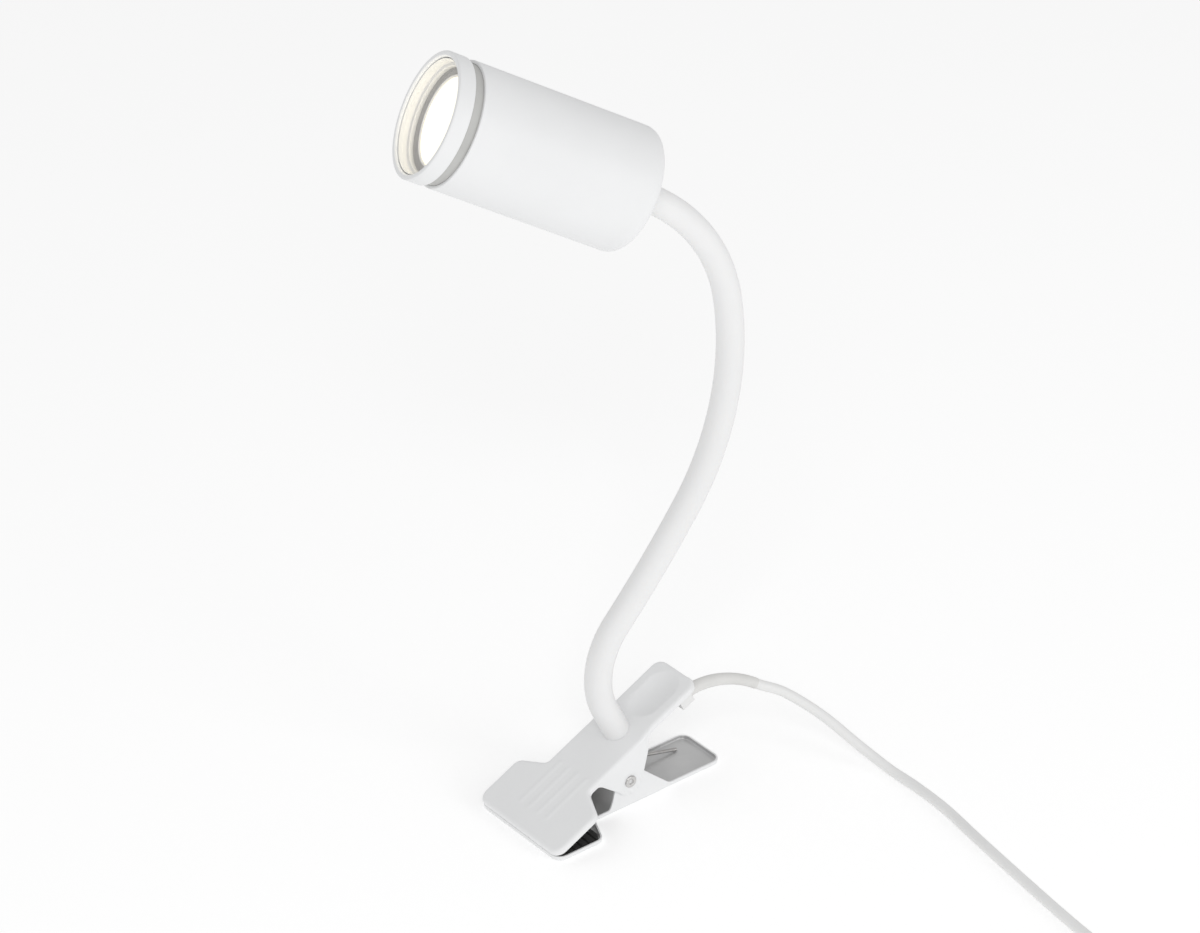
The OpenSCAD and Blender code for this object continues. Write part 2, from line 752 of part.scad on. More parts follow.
module switch_base() {
    color(white) difference() {
        switch_shell(0, switch_split);
        switch_hollow(1.6, switch_split + 1);
        switch_ports();
        switch_screw_places() translate([0, 0, -1]) cylinder(r = 1.4 + slack, h = 20);
        switch_screw_places() translate([0, 0, -1]) cylinder(r = 2.6, h = 3);
    }
}
module switch_cover() {
    color(white) difference() {
        switch_shell(switch_split + face_gap, switch_h);
        switch_hollow(switch_split - 1, switch_h - 1.6);
        switch_ports();
        translate(switch_mid + [0, 0, switch_h - cord_port_z])
            cube([rocker_w + 0.6, rocker_len + 0.8, 8], center = true);
        rocker_pivot() cylinder(r = rocker_pin_r + slack, h = rocker_w + 5, center = true);
        switch_screw_places() translate([0, 0, -1]) cylinder(r = 1.4 + slack, h = switch_h - 1);
    }
}
module rocker_pivot() {
    translate(switch_mid + [0, 0, switch_h - 4.6 - cord_port_z]) rotate([0, 90, 0]) children();
}
// The rocker stands tipped by half its travel and turns the other way when pressed
module switch_rocker() {
    color("lightgray") rocker_pivot() rotate([0, 0, rocker_travel / 2]) {
        cylinder(r = rocker_pin_r, h = rocker_w + 4, center = true);
        translate([0, 0, -rocker_w / 2]) linear_extrude(rocker_w) polygon([
            [2.5, 3], [2.5, -3], [-3.4, -rocker_len / 2 + 1.2], [-5, -rocker_len / 2 + 1.2],
            [-4.2, 0], [-5, rocker_len / 2 - 1.2], [-3.4, rocker_len / 2 - 1.2]
        ]);
    }
}
module switch_screws() {
    color(steel) switch_screw_places() translate([0, 0, 0.4]) {
        cylinder(r = 2.4, h = 1.5);
        cylinder(r = 1.4, h = switch_h - 3);
    }
}

// ---------- plug ----------

module plug_body() {
    front = plug_rear + [-plug_len, 0, 0];
    color(white) difference() {
        hull() {
            translate(plug_rear) rotate([0, -90, 0]) cylinder(d = cord_d + 3, h = 2, $fn = 32);
            for (side = [-1, 1]) translate(front + [0, side * (plug_w - plug_t) / 2, 0])
                rotate([0, 90, 0]) cylinder(d = plug_t, h = plug_len * 0.4, $fn = 32);
        }
        for (side = [-1, 1]) translate(front + [-1, side * plug_pitch / 2, 0])
            rotate([0, 90, 0]) cylinder(r = plug_root_r + slack, h = plug_pin_root + 1);
    }
}
module plug_pins() {
    front = plug_rear + [-plug_len, 0, 0];
    color(steel) for (side = [-1, 1]) translate(front + [-plug_pin_len, side * plug_pitch / 2, 0])
        rotate([0, 90, 0]) {
            cylinder(r1 = plug_pin_r - 0.8, r2 = plug_pin_r, h = 1);
            translate([0, 0, 1]) cylinder(r = plug_pin_r, h = plug_pin_len - 1.4);
            translate([0, 0, 1]) cylinder(r = plug_root_r, h = plug_pin_len + plug_pin_root - 1);
        }
}

lower_clip_half();
upper_clip_half();
lower_jaw_pad();
upper_jaw_pad();
pivot_rivet();
pivot_spacer();
torsion_spring();
neck_nipple();
neck_washer();
neck_nut();
neck_core(0);  // neck_core_0
neck_core(1);  // neck_core_1
neck_core(2);  // neck_core_2
neck_core(3);  // neck_core_3
neck_core(4);  // neck_core_4
neck_core(5);  // neck_core_5
neck_sleeve(0);  // neck_sleeve_0
neck_sleeve(1);  // neck_sleeve_1
neck_sleeve(2);  // neck_sleeve_2
neck_sleeve(3);  // neck_sleeve_3
neck_sleeve(4);  // neck_sleeve_4
neck_sleeve(5);  // neck_sleeve_5
head_nipple();
head_washer();
head_nut();
head_housing();
joining_sleeve();
front_ring();
lamp_baffle();
socket_bracket();
lamp_socket();
socket_screws();
head_wires();
lamp_body();
lamp_lens();
lens_ring();
lamp_pins();
cord_guard();
cord_clamp();
cord_run();
switch_base();
switch_cover();
switch_rocker();
switch_screws();
cord_link();
cord_coil();
coil_tie();
cord_tail();
plug_body();
plug_pins();
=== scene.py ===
"""Clip-on reading lamp: a sprung steel clip, a bendable sleeved neck and a round spot head.

Laid out as a Blender add-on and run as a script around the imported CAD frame.
Lengths inside the builders are millimetres; meshes are written in metres.
"""
import math

import bmesh
import bpy
import numpy as np
from mathutils import Matrix, Vector
from mathutils.geometry import delaunay_2d_cdt


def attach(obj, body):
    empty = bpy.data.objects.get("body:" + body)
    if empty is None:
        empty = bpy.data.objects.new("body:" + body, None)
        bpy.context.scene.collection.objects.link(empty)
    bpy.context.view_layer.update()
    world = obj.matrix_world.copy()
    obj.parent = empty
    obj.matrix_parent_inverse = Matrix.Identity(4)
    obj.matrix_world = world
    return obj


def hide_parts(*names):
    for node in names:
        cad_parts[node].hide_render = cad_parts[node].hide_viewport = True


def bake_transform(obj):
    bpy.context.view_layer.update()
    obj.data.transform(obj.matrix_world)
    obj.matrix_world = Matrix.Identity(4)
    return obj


bl_info = {
    "name": "Clip-on Reading Lamp",
    "version": (1, 0, 0),
    "blender": (4, 5, 0),
    "location": "3D View > Sidebar > Reading Lamp",
    "description": "Builds a clip-on reading lamp around its CAD frame",
    "category": "Add Mesh",
}

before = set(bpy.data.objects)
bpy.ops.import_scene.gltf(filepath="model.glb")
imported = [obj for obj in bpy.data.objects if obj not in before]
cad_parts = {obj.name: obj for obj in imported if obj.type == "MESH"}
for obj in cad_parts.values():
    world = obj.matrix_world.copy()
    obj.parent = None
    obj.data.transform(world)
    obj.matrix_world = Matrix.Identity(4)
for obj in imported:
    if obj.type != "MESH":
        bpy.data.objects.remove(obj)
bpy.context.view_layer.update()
MM = 0.001


# ---------- sizes and colours ----------

def length_prop(name, description, default):
    return bpy.props.FloatProperty(name=name, description=description, default=default, unit="LENGTH",
                                   precision=5)


def angle_prop(name, description, default):
    return bpy.props.FloatProperty(
        name=name, description=description, default=math.radians(default), subtype="ANGLE", unit="ROTATION")


def colour_prop(name, description, default):
    return bpy.props.FloatVectorProperty(
        name=name, description=description, default=default, subtype="COLOR", size=3, min=0, max=1)


class ClipSizes(bpy.types.PropertyGroup):
    jaw_reach: length_prop("Jaw reach", "Distance from the pivot to the jaw tips", 0.0515)
    handle_reach: length_prop("Handle reach", "Distance from the pivot to the end of the upper handle", 0.051)
    lower_reach: length_prop("Lower reach", "How much further the lower handle reaches", 0.004)
    jaw_width: length_prop("Jaw width", "Width across the jaws", 0.057)
    jaw_length: length_prop("Jaw length", "Length of the wide part of a jaw", 0.0255)
    shoulder: length_prop("Shoulder", "Length of the slanted shoulder behind a jaw", 0.0065)
    upper_width: length_prop("Upper width", "Width of the upper half at the pivot", 0.030)
    lower_width: length_prop("Lower width", "Width of the lower half at the pivot", 0.0276)
    handle_width: length_prop("Handle width", "Width of both handles", 0.027)
    sheet: length_prop("Sheet", "Thickness of the pressed sheet", 0.001)
    rim: length_prop("Rim", "Depth of the turned rim", 0.0027)
    fold: length_prop("Fold", "Outer radius of the rim's fold", 0.0017)
    pivot_height: length_prop("Pivot height", "Distance from the pivot to the outer faces", 0.0147)
    shut_angle: angle_prop("Shut angle", "Angle between the two halves at rest", 25.86)
    dent_depth: length_prop("Dent depth", "Depth of the thumb dent", 0.0022)
    rib_height: length_prop("Rib height", "Height of the pressed ribs", 0.00022)


class NeckSizes(bpy.types.PropertyGroup):
    diameter: length_prop("Diameter", "Outer diameter of the sleeve", 0.0125)
    wall: length_prop("Wall", "Wall of the sleeve", 0.0014)
    seat: length_prop("Seat", "Distance from the pivot to the neck", 0.0115)
    coil_pitch: length_prop("Core pitch", "Distance between the turns of the steel core", 0.0021)
    coil_wire: length_prop("Core wire", "Thickness of the core's wire", 0.0019)


class HeadSizes(bpy.types.PropertyGroup):
    diameter: length_prop("Diameter", "Outer diameter of the head", 0.056)
    length: length_prop("Length", "Length of the head", 0.101)
    corner: length_prop("Corner", "Radius of the closed end's edge", 0.0055)
    wall: length_prop("Wall", "Wall of the housing", 0.0015)
    ring: length_prop("Front ring", "Length of the front ring", 0.0076)
    groove: length_prop("Groove", "Width of the groove behind the ring", 0.0044)
    groove_depth: length_prop("Groove depth", "Depth of the groove", 0.00155)
    lamp_diameter: length_prop("Lamp", "Diameter of the lamp's front", 0.0494)
    lamp_depth: length_prop("Lamp depth", "Distance from the rim to the lamp's front", 0.0076)
    lens_radius: length_prop("Lens", "Radius of the glowing lens", 0.0194)


class CordSizes(bpy.types.PropertyGroup):
    diameter: length_prop("Diameter", "Diameter of the cord", 0.0048)
    length: length_prop("Length", "Real length of the cord", 1.8)
    guard: length_prop("Guard", "Diameter of the cord's guard", 0.0058)
    coil_radius: length_prop("Coil radius", "Mean radius of the wound part", 0.0275)


class Finishes(bpy.types.PropertyGroup):
    paint: colour_prop("Paint", "Powder paint of the clip and the head", (0.83, 0.835, 0.84))
    sleeve: colour_prop("Sleeve", "Soft sleeve of the neck", (0.83, 0.83, 0.83))
    cord: colour_prop("Cord", "Sheath of the cord", (0.82, 0.82, 0.815))
    guard: colour_prop("Guard", "Moulded guard of the cord", (0.72, 0.715, 0.70))
    rubber: colour_prop("Rubber", "Rubber of the pads", (0.018, 0.018, 0.018))
    glow: colour_prop("Glow", "Colour of the lit lens", (1.0, 0.93, 0.76))


class StageSizes(bpy.types.PropertyGroup):
    floor: length_prop("Floor", "Side of the floor", 8.0)
    lens: bpy.props.FloatProperty(name="Camera lens", description="Focal length in millimetres",
                                  default=121.5)


def settings(name):
    return getattr(bpy.context.scene, "reading_lamp_" + name)


# ---------- frames ----------

def shift(x, y, z):
    return Matrix.Translation((x, y, z))


def turn(degrees, axis):
    return Matrix.Rotation(math.radians(degrees), 4, axis)


# Each bent row is [length, bend, roll]: it first rolls about its tangent, then bends
NECK_ROWS = [[15, 0, 0], [45, 69.5, 0], [60, -6.5, 0], [101, -45, -6], [56, -44.5, -14], [17, -9, -16]]
GUARD_ROW = [42, 62, -35]
BODIES = ["upper_half", "neck_1", "neck_2", "neck_3", "neck_4", "head"]


def upper_frame():
    clip = settings("clip")
    return shift(0, 0, clip.pivot_height / MM) @ turn(-math.degrees(clip.shut_angle), "Y")


def along_row(row, distance):
    length, bend, roll = row
    if bend == 0:
        return turn(roll, "Z") @ shift(0, 0, distance)
    radius = length / math.radians(bend)
    angle = bend * distance / length
    reach = math.radians(angle)
    return (turn(roll, "Z") @ shift(radius * (1 - math.cos(reach)), 0, radius * math.sin(reach))
            @ turn(angle, "Y"))


def neck_frame(distance):
    """The neck's frame at a distance along it from its foot."""
    clip, neck = settings("clip"), settings("neck")
    matrix = upper_frame() @ shift(neck.seat / MM, 0, clip.pivot_height / MM)
    for i, row in enumerate(NECK_ROWS):
        if distance <= row[0] or i == len(NECK_ROWS) - 1:
            return matrix @ along_row(row, distance)
        matrix = matrix @ along_row(row, row[0])
        distance -= row[0]


def head_frame():
    return neck_frame(sum(row[0] for row in NECK_ROWS))


def guard_frame(distance):
    clip, cord = settings("clip"), settings("cord")
    depth = (clip.pivot_height - clip.sheet - cord.guard / 2) / MM - 0.15
    return upper_frame() @ shift(39, -8.5, depth) @ turn(90, "Y") @ along_row(GUARD_ROW, distance)


# ---------- mesh helpers ----------

def collect(obj):
    bpy.context.scene.collection.objects.link(obj)
    return obj


def piece(name, points, faces, material, matrix=None, sharp=35, merge=0.002):
    """A closed smooth-shaded mesh object from millimetre points, with its faces pointing outwards."""
    matrix = matrix or Matrix.Identity(4)
    mesh = bpy.data.meshes.new(name)
    mesh.from_pydata([matrix @ Vector(p) * MM for p in points], [], faces)
    bm = bmesh.new()
    bm.from_mesh(mesh)
    if merge:
        bmesh.ops.remove_doubles(bm, verts=bm.verts, dist=merge * MM)
    bmesh.ops.recalc_face_normals(bm, faces=bm.faces)
    bm.to_mesh(mesh)
    bm.free()
    return dressed(bpy.data.objects.new(name, mesh), material, sharp)


def dressed(obj, material, sharp=35):
    obj.data.materials.clear()
    obj.data.materials.append(material)
    obj.data.polygons.foreach_set("material_index", [0] * len(obj.data.polygons))
    obj.data.shade_smooth()
    obj.data.set_sharp_from_angle(angle=math.radians(sharp))
    if obj.name not in bpy.context.scene.collection.objects:
        collect(obj)
    return obj


def applied(obj):
    """Turns an object's modifiers into a plain mesh and removes them."""
    bpy.context.view_layer.update()
    evaluated = obj.evaluated_get(bpy.context.evaluated_depsgraph_get())
    mesh = bpy.data.meshes.new_from_object(evaluated)
    obj.modifiers.clear()
    obj.data = mesh
    mesh.name = obj.name
    return obj


def soft_edges(obj, width, angle=32, segments=3):
    bevel = obj.modifiers.new("Soft edges", "BEVEL")
    bevel.width = width * MM
    bevel.segments = segments
    bevel.limit_method = "ANGLE"
    bevel.angle_limit = math.radians(angle)
    bevel.harden_normals = False
    return obj


def softened(name, nodes, material, width, segments=3, angle=32):
    """A merged copy of CAD nodes with rounded edges."""
    bm = bmesh.new()
    for node in nodes:
        bm.from_mesh(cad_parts[node].data)
    bmesh.ops.remove_doubles(bm, verts=bm.verts, dist=0.01 * MM)
    bmesh.ops.dissolve_limit(
        bm, angle_limit=math.radians(0.5), verts=bm.verts, edges=bm.edges, use_dissolve_boundaries=False)
    mesh = bpy.data.meshes.new(name)
    bm.to_mesh(mesh)
    bm.free()
    obj = collect(bpy.data.objects.new(name, mesh))
    soft_edges(obj, width, angle, segments)
    return dressed(applied(obj), material, 40)


def rounded(points, steps=6):
    """Polygon corners (x, y, radius) replaced by arcs; returns one list of points for each corner."""
    corners = []
    for i, (x, y, radius) in enumerate(points):
        here = Vector((x, y))
        a = (here - Vector(points[i - 1][:2])).normalized()
        b = (Vector(points[(i + 1) % len(points)][:2]) - here).normalized()
        swing = math.atan2(a.x * b.y - a.y * b.x, a.dot(b))
        side = 1 if swing > 0 else -1
        left = Vector((-a.y, a.x))
        centre = here - a * radius * math.tan(abs(swing) / 2) + side * left * radius
        if radius == 0:
            corners.append([here])
            continue
        corners.append([
            centre - side * radius * (math.cos(t) * left - math.sin(t) * a)
            for t in (swing * k / steps for k in range(steps + 1))])
    return corners


def inset(points, distance):
    """The polygon (x, y, radius), anticlockwise, moved inwards."""
    moved = []
    for i, (x, y, radius) in enumerate(points):
        here = Vector((x, y))
        p = (here - Vector(points[i - 1][:2])).normalized()
        q = (Vector(points[(i + 1) % len(points)][:2]) - here).normalized()
        a, b = Vector((-p.y, p.x)), Vector((-q.y, q.x))
        new = here + distance * (a + b) / (1 + a.dot(b))
        convex = a.x * b.y - a.y * b.x > 0
        moved.append((new.x, new.y, max(0.2, radius + (-distance if convex else distance))))
    return moved


def lathe(name, profile, material, matrix, steps=144, corner_steps=5, sharp=35):
    """A closed profile of (radius, height, corner radius) turned about the frame's z axis."""
    line = [p for corner in rounded(profile, corner_steps) for p in corner]
    points, rings = [], []
    for p in line:
        if p.x < 1e-4:
            rings.append([len(points)] * steps)
            points.append((0, 0, p.y))
            continue
        rings.append(list(range(len(points), len(points) + steps)))
        points += [(p.x * math.cos(math.tau * k / steps), p.x * math.sin(math.tau * k / steps), p.y)
                   for k in range(steps)]
    faces = []
    for i, ring in enumerate(rings):
        other = rings[(i + 1) % len(rings)]
        for k in range(steps):
            n = (k + 1) % steps
            face = list(dict.fromkeys((ring[k], ring[n], other[n], other[k])))
            if len(face) > 2:
                faces.append(face)
    return piece(name, points, faces, material, matrix, sharp)


def path_frames(path):
    """Tangent, side and up along a path, turning as little as possible."""
    path = [Vector(p) for p in path]
    last = len(path) - 1
    tangents = [(path[min(i + 1, last)] - path[max(i - 1, 0)]).normalized() for i in range(len(path))]
    side = tangents[0].orthogonal().normalized()
    frames = []
    for tangent in tangents:
        side = (side - tangent * side.dot(tangent)).normalized()
        frames.append((tangent, side, tangent.cross(side)))
    return frames


def tube(name, path, radii, material, sides=24, sharp=50):
    """A closed tube along a path."""
    path = [Vector(p) for p in path]
    radii = radii if hasattr(radii, "__len__") else [radii] * len(path)
    points, faces = [], []
    for p, r, (_, s, u) in zip(path, radii, path_frames(path)):
        points += [p + r * (math.cos(math.tau * k / sides) * s + math.sin(math.tau * k / sides) * u)
                   for k in range(sides)]
    for i in range(len(path) - 1):
        for k in range(sides):
            n = (k + 1) % sides
            faces.append([i * sides + k, i * sides + n, (i + 1) * sides + n, (i + 1) * sides + k])
    last = (len(path) - 1) * sides
    faces += [list(range(sides))[::-1], list(range(last, last + sides))]
    return piece(name, points, faces, material, sharp=sharp, merge=0)


def hermite(points, first, last, steps):
    """A smooth curve through points with given directions at its two ends."""
    points = [Vector(p) for p in points]
    curve = []
    for i in range(len(points) - 1):
        a = Vector(first) if i == 0 else (points[i + 1] - points[i - 1]) / 2
        b = Vector(last) if i == len(points) - 2 else (points[i + 2] - points[i]) / 2
        for k in range(steps):
            t = k / steps
            curve.append((2 * t**3 - 3 * t**2 + 1) * points[i] + (t**3 - 2 * t**2 + t) * a
                         + (3 * t**2 - 2 * t**3) * points[i + 1] + (t**3 - t**2) * b)
    return curve + [points[-1]]


def smoothstep(t):
    t = min(1, max(0, t))
    return t * t * (3 - 2 * t)


# ---------- geometry nodes ----------

def node_tree(name, sockets):
    """A geometry node tree with a geometry in and out, and the named inputs (name, type, default)."""
    tree = bpy.data.node_groups.new(name, "GeometryNodeTree")
    tree.interface.new_socket("Geometry", in_out="INPUT", socket_type="NodeSocketGeometry")
    for label, kind, default in sockets:
        socket = tree.interface.new_socket(label, in_out="INPUT", socket_type="NodeSocket" + kind)
        if default is not None:
            socket.default_value = default
    tree.interface.new_socket("Geometry", in_out="OUTPUT", socket_type="NodeSocketGeometry")
    return tree, tree.nodes.new("NodeGroupInput"), tree.nodes.new("NodeGroupOutput")


def chain(tree, source, *nodes):
    """Links geometry outputs to geometry inputs in order."""
    for node in nodes:
        tree.links.new(source, node.inputs[0])
        source = node.outputs[0]
    return source


def swept_wire_tree():
    """Wire of a given radius swept along the edges that come in."""
    tree, inside, outside = node_tree("Swept wire", [
        ("Wire Radius", "Float", 0.001), ("Sides", "Int", 12), ("Material", "Material", None)])
    to_curve = tree.nodes.new("GeometryNodeMeshToCurve")
    sweep = tree.nodes.new("GeometryNodeCurveToMesh")
    circle = tree.nodes.new("GeometryNodeCurvePrimitiveCircle")
    realize = tree.nodes.new("GeometryNodeRealizeInstances")
    finish = tree.nodes.new("GeometryNodeSetMaterial")
    sweep.inputs["Fill Caps"].default_value = True
    tree.links.new(inside.outputs["Wire Radius"], circle.inputs["Radius"])
    tree.links.new(inside.outputs["Sides"], circle.inputs["Resolution"])
    tree.links.new(circle.outputs["Curve"], sweep.inputs["Profile Curve"])
    tree.links.new(inside.outputs["Material"], finish.inputs["Material"])
    tree.links.new(chain(tree, inside.outputs["Geometry"], to_curve, sweep, realize, finish),
                   outside.inputs["Geometry"])
    return tree


def rings_on_path_tree():
    """Wire rings at a fixed pitch along the edges that come in, square to the path."""
    tree, inside, outside = node_tree("Rings on path", [
        ("Pitch", "Float", 0.002), ("Ring Radius", "Float", 0.004), ("Wire Radius", "Float", 0.001),
        ("Material", "Material", None)])
    to_curve = tree.nodes.new("GeometryNodeMeshToCurve")
    places = tree.nodes.new("GeometryNodeCurveToPoints")
    places.mode = "LENGTH"
    ring = tree.nodes.new("GeometryNodeCurvePrimitiveCircle")
    ring.inputs["Resolution"].default_value = 20
    wire = tree.nodes.new("GeometryNodeCurvePrimitiveCircle")
    wire.inputs["Resolution"].default_value = 8
    sweep = tree.nodes.new("GeometryNodeCurveToMesh")
    instance = tree.nodes.new("GeometryNodeInstanceOnPoints")
    realize = tree.nodes.new("GeometryNodeRealizeInstances")
    finish = tree.nodes.new("GeometryNodeSetMaterial")
    links = tree.links.new
    links(inside.outputs["Geometry"], to_curve.inputs[0])
    links(to_curve.outputs[0], places.inputs["Curve"])
    links(inside.outputs["Pitch"], places.inputs["Length"])
    links(inside.outputs["Ring Radius"], ring.inputs["Radius"])
    links(inside.outputs["Wire Radius"], wire.inputs["Radius"])
    links(ring.outputs["Curve"], sweep.inputs["Curve"])
    links(wire.outputs["Curve"], sweep.inputs["Profile Curve"])
    links(places.outputs["Points"], instance.inputs["Points"])
    links(places.outputs["Rotation"], instance.inputs["Rotation"])
    links(sweep.outputs["Mesh"], instance.inputs["Instance"])
    links(inside.outputs["Material"], finish.inputs["Material"])
    links(chain(tree, instance.outputs[0], realize, finish), outside.inputs["Geometry"])
    return tree


def cross_screws_tree():
    """Screw heads with a cross recess, one on each point that comes in, along the point's normal."""
    tree, inside, outside = node_tree("Screw heads", [
        ("Head Radius", "Float", 0.0024), ("Head Height", "Float", 0.0014), ("Material", "Material", None)])
    head = tree.nodes.new("GeometryNodeMeshCylinder")
    head.inputs["Vertices"].default_value = 28
    scale = tree.nodes.new("ShaderNodeVectorMath")
    scale.operation = "SCALE"
    scale.inputs[0].default_value = (1.3, 0.32, 0)
    slots = []
    for degrees in (0, 90):
        bar = tree.nodes.new("GeometryNodeMeshCube")
        size = tree.nodes.new("ShaderNodeCombineXYZ")
        for axis, share in ((0, 1.25), (1, 0.3)):
            part = tree.nodes.new("ShaderNodeMath")
            part.operation = "MULTIPLY"
            part.inputs[1].default_value = share
            tree.links.new(inside.outputs["Head Radius"], part.inputs[0])
            tree.links.new(part.outputs[0], size.inputs[axis])
        tree.links.new(inside.outputs["Head Height"], size.inputs[2])
        tree.links.new(size.outputs[0], bar.inputs["Size"])
        place = tree.nodes.new("GeometryNodeTransform")
        place.inputs["Rotation"].default_value = (0, 0, math.radians(degrees + 20))
        lift = tree.nodes.new("ShaderNodeCombineXYZ")
        tree.links.new(inside.outputs["Head Height"], lift.inputs[2])
        tree.links.new(lift.outputs[0], place.inputs["Translation"])
        tree.links.new(bar.outputs["Mesh"], place.inputs["Geometry"])
        slots.append(place)
    cut = tree.nodes.new("GeometryNodeMeshBoolean")
    cut.operation = "DIFFERENCE"
    cut.solver = "EXACT"
    tree.nodes.remove(scale)
    tree.links.new(inside.outputs["Head Radius"], head.inputs["Radius"])
    tree.links.new(inside.outputs["Head Height"], head.inputs["Depth"])
    tree.links.new(head.outputs["Mesh"], cut.inputs["Mesh 1"])
    for place in slots:
        tree.links.new(place.outputs["Geometry"], cut.inputs["Mesh 2"])
    normal = tree.nodes.new("GeometryNodeInputNormal")
    aim = tree.nodes.new("FunctionNodeAlignRotationToVector")
    aim.axis = "Z"
    tree.links.new(normal.outputs[0], aim.inputs["Vector"])
    instance = tree.nodes.new("GeometryNodeInstanceOnPoints")
    realize = tree.nodes.new("GeometryNodeRealizeInstances")
    finish = tree.nodes.new("GeometryNodeSetMaterial")
    tree.links.new(inside.outputs["Geometry"], instance.inputs["Points"])
    tree.links.new(cut.outputs["Mesh"], instance.inputs["Instance"])
    tree.links.new(aim.outputs[0], instance.inputs["Rotation"])
    tree.links.new(inside.outputs["Material"], finish.inputs["Material"])
    tree.links.new(chain(tree, instance.outputs[0], realize, finish), outside.inputs["Geometry"])
    return tree


TREES = {}


def grown(name, builder, path, material, values, sharp=40):
    """A mesh that a node tree makes on a path of millimetre points."""
    if builder.__name__ not in TREES:
        TREES[builder.__name__] = builder()
    tree = TREES[builder.__name__]
    mesh = bpy.data.meshes.new(name)
    mesh.from_pydata([Vector(p) * MM for p in path], [(i, i + 1) for i in range(len(path) - 1)], [])
    obj = collect(bpy.data.objects.new(name, mesh))
    modifier = obj.modifiers.new(tree.name, "NODES")
    modifier.node_group = tree
    values = dict(values, Material=material)
    for item in tree.interface.items_tree:
        if item.in_out == "INPUT" and item.name in values:
            modifier[item.identifier] = values[item.name]
    return dressed(applied(obj), material, sharp)


# ---------- finishes ----------

GROUPS = {}


def shader_group(name, inputs, outputs):
    tree = bpy.data.node_groups.new(name, "ShaderNodeTree")
    for label, kind, default in inputs:
        socket = tree.interface.new_socket(label, in_out="INPUT", socket_type="NodeSocket" + kind)
        socket.default_value = default
    for label, kind in outputs:
        tree.interface.new_socket(label, in_out="OUTPUT", socket_type="NodeSocket" + kind)
    return tree, tree.nodes.new("NodeGroupInput"), tree.nodes.new("NodeGroupOutput")


def maths(tree, operation, a, b=None, clamp=False):
    node = tree.nodes.new("ShaderNodeMath")
    node.operation = operation
    node.use_clamp = clamp
    for socket, value in zip(node.inputs, (a, b)):
        if isinstance(value, bpy.types.NodeSocket):
            tree.links.new(value, socket)
        elif value is not None:
            socket.default_value = value
    return node.outputs[0]


def noise(tree, vector, scale, detail=3, roughness=0.5):
    node = tree.nodes.new("ShaderNodeTexNoise")
    node.inputs["Detail"].default_value = detail
    node.inputs["Roughness"].default_value = roughness
    tree.links.new(vector, node.inputs["Vector"])
    if isinstance(scale, bpy.types.NodeSocket):
        tree.links.new(scale, node.inputs["Scale"])
    else:
        node.inputs["Scale"].default_value = scale
    return node.outputs["Fac"]


def stepped(tree, value, low, high):
    node = tree.nodes.new("ShaderNodeMapRange")
    node.interpolation_type = "SMOOTHSTEP"
    tree.links.new(value, node.inputs["Value"])
    node.inputs["From Min"].default_value = low
    node.inputs["From Max"].default_value = high
    return node.outputs["Result"]


def blended(tree, factor, a, b):
    node = tree.nodes.new("ShaderNodeMix")
    node.data_type = "RGBA"
    for value, socket in ((factor, node.inputs[0]), (a, node.inputs[6]), (b, node.inputs[7])):
        if isinstance(value, bpy.types.NodeSocket):
            tree.links.new(value, socket)
        else:
            socket.default_value = value
    return node.outputs[2]


